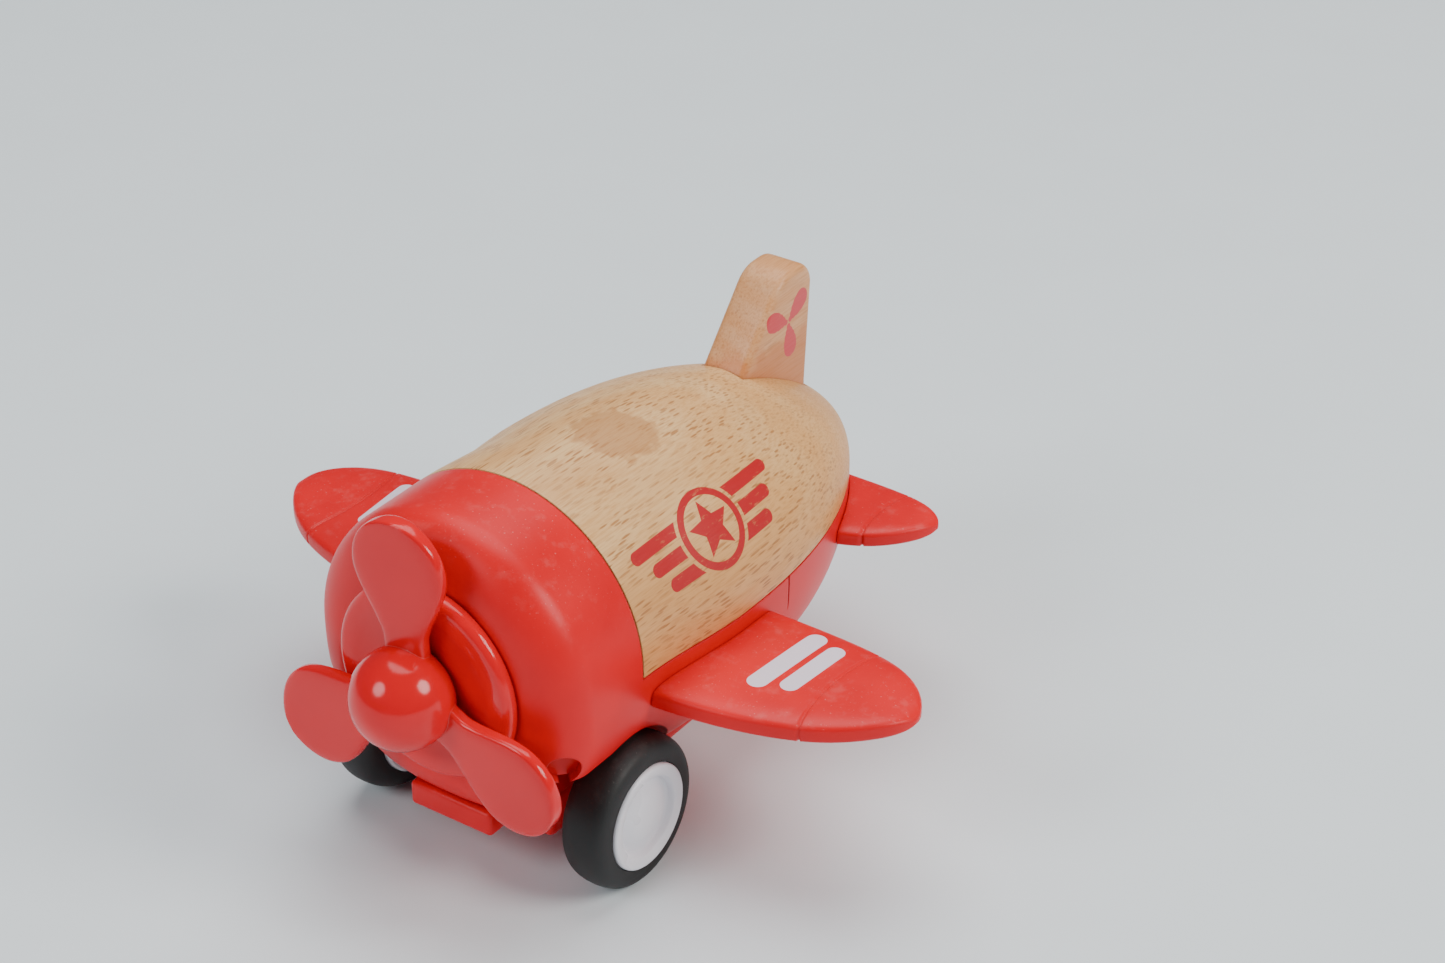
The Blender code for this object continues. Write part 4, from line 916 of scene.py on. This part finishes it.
def fin_outline(spread=0.0):
    """The fin from the side: raked front, rounded top, leaning back, square tenon."""
    front, foot, rear = 30.2 * MM - spread, 40.0 * MM - spread, 48.6 * MM + spread
    top, knee_z = FIN_TOP_Z + spread, 52.4 * MM
    knee, crown, tail = (front, knee_z + spread), (41.6 * MM - spread, top), (rear + 2.2 * MM, top)
    first = fillet(knee, crown, tail, 6 * MM)
    second = fillet(crown, tail, (rear, knee_z), 4 * MM)
    return [(front, foot), knee, *first, *second, (rear, knee_z - 8 * MM), (rear, foot)]


def fin_solid(name, spread, half):
    return loft(name, [[(x, y, z) for y, z in fin_outline(spread)] for x in (-half, half)])


class AIRPLANE_OT_wood(bpy.types.Operator):
    """The turned beech upper body and the fin let into it"""

    bl_idname = "airplane.make_wood"
    bl_label = "Beech body and fin"

    def execute(self, context):
        half, slack = context.scene.airplane_sizes.fin_thickness / 2, 0.12 * MM
        body = fuselage("beech_body", SEAM_Y + GAP, TAIL_Y, fine=5)
        corner = (CLEAR_X, TAIL_Y + 1 * MM, SEAM_Z + GAP)
        shape(body, [box("below", (-CLEAR_X, SEAM_Y - 1 * MM, 0), corner)])
        soften(body, EDGE, 3, 50)
        holes = [upright(0, y, SEAM_Z - 1 * MM, SEAM_Z + 11.3 * MM, HOLE_R) for y in POST_YS]
        shape(body, [fin_solid("slot", slack, half + slack), *holes])
        finish_piece(body, FINISH["beech"], "airframe", ["wood_body"], 40)
        fin = fin_solid("beech_fin", 0.0, half)
        soften(fin, 1.3 * MM, 5, 30)
        finish_piece(fin, FINISH["fin"], "airframe", ["tail_fin"], 60)
        return {"FINISHED"}


# ---------------------------------------------------------------- wings and tailplanes


def surface_ring(x, front, back, z, thick, bow, count=96, power=4.6):
    """A rounded flat section of a wing; its ends are bowed outwards, away from the root."""
    middle, half = (front + back) / 2, (back - front) / 2
    ring = []
    for i in range(count):
        a = 2 * math.pi * i / count
        cy, cz = bent(math.cos(a), 2 / power), bent(math.sin(a), 2 / power)
        y = middle + half * cy
        shift = bow * ((y - middle) / max(half, 1e-6)) ** 2
        ring.append((x + math.copysign(shift, x), y, z + thick / 2 * cz))
    return ring


def flying_surface(name, side, root_x, tip_x, front, back, tip_y, z, thick, groove_x, bow):
    """A plug-in surface: rounded towards its tip, with a fine groove along the chord."""
    stations = [root_x + (tip_x - root_x) * math.sin(math.radians(90 * i / 44)) for i in range(44)]
    groove = [(groove_x + d * MM, cut * MM) for d, cut in ((-0.28, 0), (-0.1, 0.22), (0.1, 0.22), (0.28, 0))]
    stations = [(x, 0.0) for x in stations if abs(x - groove_x) > 0.5 * MM]
    rings = []
    for x, cut in sorted(stations + groove):
        t = (x - root_x) / (tip_x - root_x)
        lead = tip_y + (front - tip_y) * super_fall(t, 2.0, 1.6) + cut
        trail = tip_y + (back - tip_y) * super_fall(t, 4.7, 1.65) - cut
        high = thick * (0.45 * super_fall(t, 30, 2) + 0.55 * super_fall(t, 2.4)) - 2 * cut
        inner, outer = (x - root_x) / (groove_x - root_x), (x - groove_x) / (tip_x - groove_x)
        pull = bow * (ease(inner) if x < groove_x else 1 - ease(outer))
        rings.append(surface_ring(side * x, lead, trail, z, high, pull))
    return loft(name, rings)


class AIRPLANE_OT_wings(bpy.types.Operator):
    """The two wings with their printed stripes, and the two tailplanes"""

    bl_idname = "airplane.make_wings"
    bl_label = "Wings and tailplanes"

    def execute(self, context):
        sizes = context.scene.airplane_sizes
        for suffix, side in SIDES:
            wing = flying_surface(
                f"{suffix}_wing", side, root_x=20 * MM, tip_x=WING_TIP_X, front=-22.0 * MM, back=5.9 * MM,
                tip_y=-4.6 * MM, z=WING_TAB[2], thick=sizes.wing_thickness, groove_x=44.6 * MM, bow=1.5 * MM)
            self.plug(wing, side, WING_TAB, f"wing_{suffix}")
            stab = flying_surface(
                f"{suffix}_tailplane", side, root_x=10 * MM, tip_x=STAB_TIP_X, front=27.5 * MM,
                back=46.0 * MM, tip_y=41.5 * MM, z=STAB_TAB[2], thick=sizes.tailplane_thickness,
                groove_x=24.8 * MM, bow=1.0 * MM)
            self.plug(stab, side, STAB_TAB, f"tailplane_{suffix}")
        return {"FINISHED"}

    def plug(self, surface, side, tab, node):
        """Fits a surface against the tub's skin, rounds its edges and adds its tab."""
        shape(surface, [fuselage("clearance", COWL_Y, TAIL_Y - 0.1 * MM, -0.12 * MM, 96, 3)])
        soften(surface, 0.9 * MM, 4, 50)
        shape(surface, [tab_box(side, tab)], "UNION")
        finish_piece(surface, FINISH["wing"], "airframe", [node], 50)


# ---------------------------------------------------------------- nose


def blade(index, sizes):
    """One flat paddle of the propeller with rounded edges."""
    theta = math.pi / 2 + BLADE_TURN + index * 2 * math.pi / BLADES
    out = Vector((math.cos(theta), 0, math.sin(theta)))
    across = Vector((-math.sin(theta), 0, math.cos(theta)))
    chord = across * math.cos(BLADE_PITCH) + Y * math.sin(BLADE_PITCH)
    normal = out.cross(chord)
    centre = Vector((0, SPINNER_TIP_Y + SPINNER_R + 2.1 * MM, AXIS_Z))
    wide = sizes.blade_width / 2
    neck_r, wide_r = SPINNER_R + 1 * MM, sizes.propeller_radius - wide
    radii = [3 * MM + (wide_r - 3 * MM) * i / 24 for i in range(25)]
    radii += [wide_r + wide * math.sin(math.radians(a)) for a in range(5, 90, 5)]
    radii += [wide_r + wide * math.sin(math.radians(a)) for a in (87, 89)]
    rings = []
    for r in radii:
        if r <= neck_r:
            half = BLADE_NECK
        elif r <= wide_r:
            half = BLADE_NECK + (wide - BLADE_NECK) * ease((r - neck_r) / (wide_r - neck_r)) ** 0.8
        else:
            half = wide * super_fall((r - wide_r) / wide, 2.0)
        fullness = super_fall(1 - min(1.0, half / (2.4 * MM)), 2.0)
        thick = sizes.blade_thickness / 2 * min(1.0, 0.3 + 0.7 * fullness)
        ring = []
        for i in range(40):
            a = 2 * math.pi * i / 40
            power = 0.42 if half > 1.5 * MM else 0.8
            along, deep = bent(math.cos(a), 0.5) * half, bent(math.sin(a), power) * thick
            ring.append(centre + out * r + chord * along + normal * deep)
        rings.append(ring)
    return loft("blade", rings)


class AIRPLANE_OT_nose(bpy.types.Operator):
    """The glossy nose disc and the propeller with its spinner"""

    bl_idname = "airplane.make_nose"
    bl_label = "Nose disc and propeller"

    def execute(self, context):
        sizes = context.scene.airplane_sizes
        thick, radius, inner = 2.1 * MM, 15.7 * MM, 3.1 * MM
        face = [(inner, thick - 0.2 * MM), (11.6 * MM, thick - 0.2 * MM), (11.9 * MM, thick)]
        profile = [*face, *rounded_rim(radius, thick, 1.4 * MM, 10), (radius, 0), (9 * MM, 0),
                   (9 * MM, -3 * MM), (inner, -3 * MM)]
        disc = turned("nose_plate", profile, (0, COWL_Y - GAP, AXIS_Z), -Y, 160, True)
        finish_piece(disc, FINISH["gloss"], "airframe", ["nose_disc"])

        turns = [math.radians(90 - 180 * i / 48) for i in range(49)]
        profile = [(max(0.0, SPINNER_R * math.cos(a)), SPINNER_R * math.sin(a)) for a in turns]
        spinner = turned("propeller_and_spinner", profile, (0, SPINNER_TIP_Y + SPINNER_R, AXIS_Z), -Y)
        shape(spinner, [blade(i, sizes) for i in range(BLADES)], "UNION")
        back_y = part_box("propeller")[1].y
        reach = 13 * MM
        back = box("back", (-reach, back_y, AXIS_Z - reach), (reach, 0, AXIS_Z + reach))
        hole = rod("hole", (0, back_y - 5.3 * MM, AXIS_Z), (0, back_y + 3 * MM, AXIS_Z), BEARING_R)
        shape(spinner, [back, hole])
        finish_piece(spinner, FINISH["gloss"], "propeller", ["propeller"], 42)
        return {"FINISHED"}


# ---------------------------------------------------------------- wheels


# The hub's face in millimetres, from its middle outwards: radius, and height from its outer plane
HUB_DOME = ((0.0, -0.1), (1.4, -0.12), (2.6, -0.22), (3.7, -0.45), (4.6, -0.85), (5.2, -1.25),
            (5.5, -1.42), (5.9, -1.42), (6.15, -1.25), (6.3, -0.6), (6.45, -0.32), (6.7, -0.2))


class AIRPLANE_OT_wheels(bpy.types.Operator):
    """The front tyres, hubs and axle, and the tail wheel with its bracket and pin"""

    bl_idname = "airplane.make_wheels"
    bl_label = "Wheels"

    def execute(self, context):
        for suffix, side in SIDES:
            self.front_wheel(suffix, side)
        low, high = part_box("front_axle")
        radius = (high.z - low.z) / 2
        axle = crosswise("steel_axle", low.x, high.x, AXLE.y, AXLE.z, radius, 48, 0.25 * MM)
        finish_piece(axle, FINISH["steel"], "front_wheels", ["front_axle"])
        self.tail_wheel()
        return {"FINISHED"}

    def front_wheel(self, suffix, side):
        """A domed hub and the tyre round it."""
        low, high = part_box(f"hub_{suffix}")
        depth, hub_r = high.x - low.x, (high.z - low.z) / 2
        back = (low.x if side > 0 else high.x, AXLE.y, AXLE.z)
        bore_end = depth - 3.0 * MM
        face = [(r * MM, depth + h * MM) for r, h in HUB_DOME]
        profile = [*face, *rounded_rim(hub_r, depth, 0.45 * MM, 5), (hub_r, 0.3 * MM),
                   (hub_r - 0.3 * MM, 0), (BEARING_R, 0), (BEARING_R, bore_end), (0, bore_end)]
        hub = turned(f"{suffix}_hub", profile, back, X * side, 128)
        finish_piece(hub, FINISH["white"], "front_wheels", [f"hub_{suffix}"], 30)
        low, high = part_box(f"tyre_{suffix}")
        width = high.x - low.x
        inner = hub_r + 0.15 * MM
        profile = []
        for i in range(49):
            a = math.radians(90 - 180 * i / 48)
            r = inner + (TYRE_R - inner) * max(0.0, math.cos(a)) ** 0.62
            h = width / 2 + width / 2 * bent(math.sin(a), 0.85)
            profile.append((r, h + 0.35 * MM * max(0.0, math.cos(a))))
        start = (low.x if side > 0 else high.x, AXLE.y, AXLE.z)
        tyre = turned(f"{suffix}_tyre", profile, start, X * side, 144, True)
        finish_piece(tyre, FINISH["rubber"], "front_wheels", [f"tyre_{suffix}"], 50)

    def tail_wheel(self):
        """The roller, its pin and the fork that carries them."""
        y, z = TAIL_AXLE.y, TAIL_AXLE.z
        low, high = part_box("tail_wheel")
        radius, width = (high.z - low.z) / 2, high.x - low.x
        rim = rounded_rim(radius, width, 1.1 * MM, 6)
        other_rim = [(r, width - h) for r, h in reversed(rim)]
        profile = [(1.3 * MM, width), *rim, *other_rim, (1.3 * MM, 0)]
        wheel = turned("tail_roller", profile, (low.x, y, z), X, 96, True)
        finish_piece(wheel, FINISH["rubber"], "tail_wheel", ["tail_wheel"])
        low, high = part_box("tail_pin")
        pin = crosswise("tail_wheel_pin", low.x, high.x, y, z, (high.z - low.z) / 2, 40, 0.2 * MM)
        finish_piece(pin, FINISH["steel"], "airframe", ["tail_pin"])
        low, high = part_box("tail_bracket")
        fork = box("tail_fork", low, (high.x, high.y, AXIS_Z - 10 * MM), 1.0 * MM, 4)
        room = high.x - 1.8 * MM
        head_z = 2 * radius + 1.1 * MM + SCREW_HEAD + GAP
        shape(fork, [
            fuselage("clearance", COWL_Y, TAIL_Y - 0.1 * MM, -0.15 * MM, 96, 2),
            crosswise("room", -room, room, y, z, radius + 0.9 * MM, 72),
            box("open", (-room, y - 2 * CLEAR, 0), (room, y + 2 * CLEAR, z)),
            crosswise("hole", -2 * CLEAR, 2 * CLEAR, y, z, 1.15 * MM),
            upright(0, y, 0, AXIS_Z, HOLE_R),
            upright(0, y, z, head_z, SINK_R),
        ])
        finish_piece(fork, FINISH["red"], "airframe", ["tail_bracket"])


# ---------------------------------------------------------------- belly, screws and motor


class AIRPLANE_OT_belly(bpy.types.Operator):
    """The belly tray with its bumper, axle bearings and screw bosses"""

    bl_idname = "airplane.make_belly"
    bl_label = "Belly tray"

    def execute(self, context):
        low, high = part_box("belly_tray")
        wide = high.x
        y, z = AXLE.y, AXLE.z
        tray = box("bumper_tray", (-wide, TRAY_FRONT_Y, low.z), (wide, high.y, high.z), 1.2 * MM, 5)
        inside = box("inside", (TRAY_WALL - wide, TRAY_FRONT_Y + TRAY_WALL, low.z + TRAY_FLOOR),
                     (wide - TRAY_WALL, high.y - TRAY_WALL, high.z + 5 * MM))
        corners = [(side * TRAY_SCREW_X, y) for side in (-1, 1) for y in TRAY_SCREW_YS]
        shape(tray, [shape(inside, [upright(*corner, 0, 25 * MM, BOSS_R, 48) for corner in corners])])
        bumper = box("bumper", (-7.6 * MM, low.y, 9.1 * MM),
                     (7.6 * MM, TRAY_FRONT_Y + 0.8 * MM, 13.2 * MM), 0.7 * MM, 5)
        shape(tray, [bumper], "UNION")
        start, end = -wide - 5 * MM, wide + 5 * MM
        cuts = [
            fuselage("clearance", COWL_Y, SEAM_Y, -0.2 * MM, 96, 2),
            crosswise("bearing", start, end, y, z, BEARING_R, 48),
            box("slot", (start, y - BEARING_R, z), (end, y + BEARING_R, 20 * MM)),
        ]
        for corner in corners:
            cuts.append(upright(*corner, 0, 20 * MM, HOLE_R, 40))
            cuts.append(upright(*corner, 0, low.z + SCREW_HEAD + GAP, SINK_R, 48))
        shape(tray, cuts)
        finish_piece(tray, FINISH["red"], "airframe", ["belly_tray"])
        return {"FINISHED"}


def screw_shape():
    """A pan-head screw along Z with a cross recess; its head's underside is at the origin."""
    profile = [(0, 1.4), (0.7, 1.38), (1.4, 1.22), (1.85, 0.9), (2.0, 0.45), (1.95, 0.05), (1.9, 0.0),
               (1.0, 0.0)]
    for i in range(9):
        z = -0.6 - i * 0.75
        profile += [(0.74, z), (0.98, z - 0.3)]
    profile += [(0.7, -7.6), (0, -8.0)]
    made = turned("screw_shape", [(r * MM, h * MM) for r, h in profile], (0, 0, 0), Z, 40)
    recess = ((1.2, 0.24), (0.24, 1.2))
    shape(made, [box("recess", (-x * MM, -y * MM, 0.7 * MM), (x * MM, y * MM, 2 * MM)) for x, y in recess])
    made.data.shade_smooth()
    made.data.set_sharp_from_angle(angle=math.radians(40))
    return made


def screw_nodes(pattern):
    """A node tree that puts one screw, head down, on every point of a mesh."""
    tree, start, end = group(
        "screws_on_points",
        [("Points", "Geometry", None), ("Size", "Float", 1.0), ("Turn", "Float", 0.35)],
        [("Screws", "Geometry")],
        "GeometryNodeTree",
    )
    given = start.outputs
    source = add(tree, "GeometryNodeObjectInfo", Object=pattern)
    number = add(tree, "GeometryNodeInputIndex")
    angle = maths(tree, "MULTIPLY", number.outputs[0], given["Turn"])
    turn = add(tree, "ShaderNodeCombineXYZ", X=math.pi, Z=angle)
    spread = add(tree, "GeometryNodeInstanceOnPoints", Points=given["Points"],
                 Instance=source.outputs["Geometry"], Rotation=turn.outputs[0], Scale=given["Size"])
    real = add(tree, "GeometryNodeRealizeInstances", Geometry=spread.outputs[0])
    paint = add(tree, "GeometryNodeSetMaterial", Geometry=real.outputs[0], Material=FINISH["steel"])
    feed(tree, end, Screws=paint.outputs[0])
    return tree


class AIRPLANE_OT_screws(bpy.types.Operator):
    """The seven screws that hold the tray, the wood and the tail bracket"""

    bl_idname = "airplane.make_screws"
    bl_label = "Screws"

    def execute(self, context):
        names = [f"tray_screw_{i}" for i in range(4)] + ["wood_screw_0", "wood_screw_1", "bracket_screw"]
        points = []
        for name in names:
            low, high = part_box(name)
            points.append(((low.x + high.x) / 2, (low.y + high.y) / 2, low.z + SCREW_HEAD))
        mesh = bpy.data.meshes.new("screw_points")
        mesh.from_pydata(points, [], [])
        screws = link("screws", mesh)
        pattern = screw_shape()
        mod = screws.modifiers.new("screws", "NODES")
        tree = screw_nodes(pattern)
        mod.node_group = tree
        for socket in tree.interface.items_tree:
            if socket.name == "Turn":
                mod[socket.identifier] = 0.6
        settle(screws)
        bpy.data.objects.remove(pattern)
        bpy.data.node_groups.remove(tree)
        finish_piece(screws, FINISH["steel"], "airframe", names, 40)
        return {"FINISHED"}


class AIRPLANE_OT_motor(bpy.types.Operator):
    """Finishes for the spring motor's gears, pins and case, and for the shaft, bush and collar"""

    bl_idname = "airplane.make_motor"
    bl_label = "Spring motor"

    def execute(self, context):
        finishes = {
            "nylon": ("drive_pinion", "idler_gear", "spring_barrel"),
            "spring": ("mainspring",),
            "steel": ("idler_pin", "barrel_pin", "propeller_shaft", "shaft_collar"),
            "brass": ("propeller_bush",),
            "grey": ("motor_case_port", "motor_case_starboard"),
        }
        for finish, nodes in finishes.items():
            for name in nodes:
                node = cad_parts[name]
                node.data.materials.clear()
                node.data.materials.append(FINISH[finish])
        return {"FINISHED"}


# ---------------------------------------------------------------- stage


CAMERA_PLACE = (0.24103, -0.31403, 0.28652)
CAMERA_RIGHT = Vector((0.82055803, 0.57155242, -0.00351515))
CAMERA_UP = Vector((-0.29305314, 0.42599052, 0.8559509))
CAMERA_BACK = Vector((0.49071823, -0.70132725, 0.51704517))
LIT_POINT = Vector((0, -0.01, 0.035))
LIGHT_REACH = 0.9
FLOOR_HALF = 6.0


def soft_light(name, place, size, power, colour=(1, 1, 1)):
    """A round soft light aimed at the toy."""
    data = bpy.data.lights.new(name, "AREA")
    data.shape = "DISK"
    data.size = size
    data.energy = power
    data.color = colour
    lamp = bpy.data.objects.new(name, data)
    bpy.context.scene.collection.objects.link(lamp)
    lamp.location = place
    lamp.rotation_mode = "QUATERNION"
    lamp.rotation_quaternion = (LIT_POINT - place).to_track_quat("-Z", "Y")


class AIRPLANE_OT_stage(bpy.types.Operator):
    """A plain pale floor, soft studio lights and the camera"""

    bl_idname = "airplane.make_stage"
    bl_label = "Stage"

    def execute(self, context):
        stage = context.scene.airplane_stage
        data = bpy.data.cameras.new("camera")
        camera = bpy.data.objects.new("camera", data)
        context.scene.collection.objects.link(camera)
        turn = Matrix((CAMERA_RIGHT, CAMERA_UP, CAMERA_BACK)).transposed()
        camera.matrix_world = Matrix.Translation(CAMERA_PLACE) @ turn.to_4x4()
        data.sensor_width = 36
        data.lens = stage.lens
        data.clip_start = 0.01
        context.scene.camera = camera

        mesh = bpy.data.meshes.new("floor")
        corners = [(x * FLOOR_HALF, y * FLOOR_HALF, 0) for x, y in ((-1, -1), (1, -1), (1, 1), (-1, 1))]
        mesh.from_pydata(corners, [], [(0, 1, 2, 3)])
        floor = link("floor", mesh)
        made, tree, shader, place = shader_of("floor_paper")
        tone = tuple(stage.floor_colour)
        speck = ramp(tree, noise(tree, place, 40.0), 0.3, 0.7)
        feed(tree, shader, Base_Color=blend(tree, speck, toned(tone, 0.985), tone), Roughness=0.85)
        mesh.materials.append(made)

        world = bpy.data.worlds.new("studio")
        context.scene.world = world
        world.use_nodes = True
        shade = world.node_tree.nodes["Background"]
        feed(world.node_tree, shade, Color=(0.86, 0.94, 1.0, 1), Strength=stage.sky)
        key = CAMERA_RIGHT * 0.73 + CAMERA_UP * 0.36 + CAMERA_BACK * 0.58
        fill = CAMERA_RIGHT * -0.69 + CAMERA_UP * 0.27 + CAMERA_BACK * 0.66
        top = Vector((-0.15, 0.25, 0.95))
        soft_light("key", LIT_POINT + key * LIGHT_REACH, 0.42, stage.key_power, (1.0, 0.97, 0.93))
        soft_light("fill", LIT_POINT + fill * LIGHT_REACH, 0.40, stage.fill_power, (0.96, 0.98, 1.0))
        soft_light("top", LIT_POINT + top, 0.9, stage.top_power)
        return {"FINISHED"}


# ---------------------------------------------------------------- add-on


class AIRPLANE_PT_panel(bpy.types.Panel):
    """Lists the airplane's pieces in the sidebar"""

    bl_idname = "AIRPLANE_PT_panel"
    bl_label = "Toy Airplane"
    bl_space_type = "VIEW_3D"
    bl_region_type = "UI"
    bl_category = "Airplane"

    def draw(self, context):
        layout = self.layout
        for held in ("airplane_sizes", "airplane_finish", "airplane_stage"):
            section_box = layout.box()
            values = getattr(context.scene, held)
            for name in values.bl_rna.properties.keys():
                if name not in ("rna_type", "name"):
                    section_box.prop(values, name)
        for operator in PIECES:
            layout.operator(operator.bl_idname)


PIECES = (
    AIRPLANE_OT_tub,
    AIRPLANE_OT_wood,
    AIRPLANE_OT_wings,
    AIRPLANE_OT_nose,
    AIRPLANE_OT_wheels,
    AIRPLANE_OT_belly,
    AIRPLANE_OT_screws,
    AIRPLANE_OT_motor,
    AIRPLANE_OT_stage,
)
HELD = {
    "airplane_sizes": AirplaneSizeSettings,
    "airplane_finish": AirplaneFinishSettings,
    "airplane_stage": AirplaneStageSettings,
}


def register():
    for made in (*HELD.values(), *PIECES, AIRPLANE_PT_panel):
        bpy.utils.register_class(made)
    for name, made in HELD.items():
        setattr(bpy.types.Scene, name, bpy.props.PointerProperty(type=made))


def unregister():
    for name in HELD:
        delattr(bpy.types.Scene, name)
    for made in reversed((*HELD.values(), *PIECES, AIRPLANE_PT_panel)):
        bpy.utils.unregister_class(made)


def main():
    register()
    make_finishes(bpy.context.scene.airplane_finish)
    for operator in PIECES:
        family, name = operator.bl_idname.split(".")
        getattr(getattr(bpy.ops, family), name)()


if __name__ == "__main__":
    main()
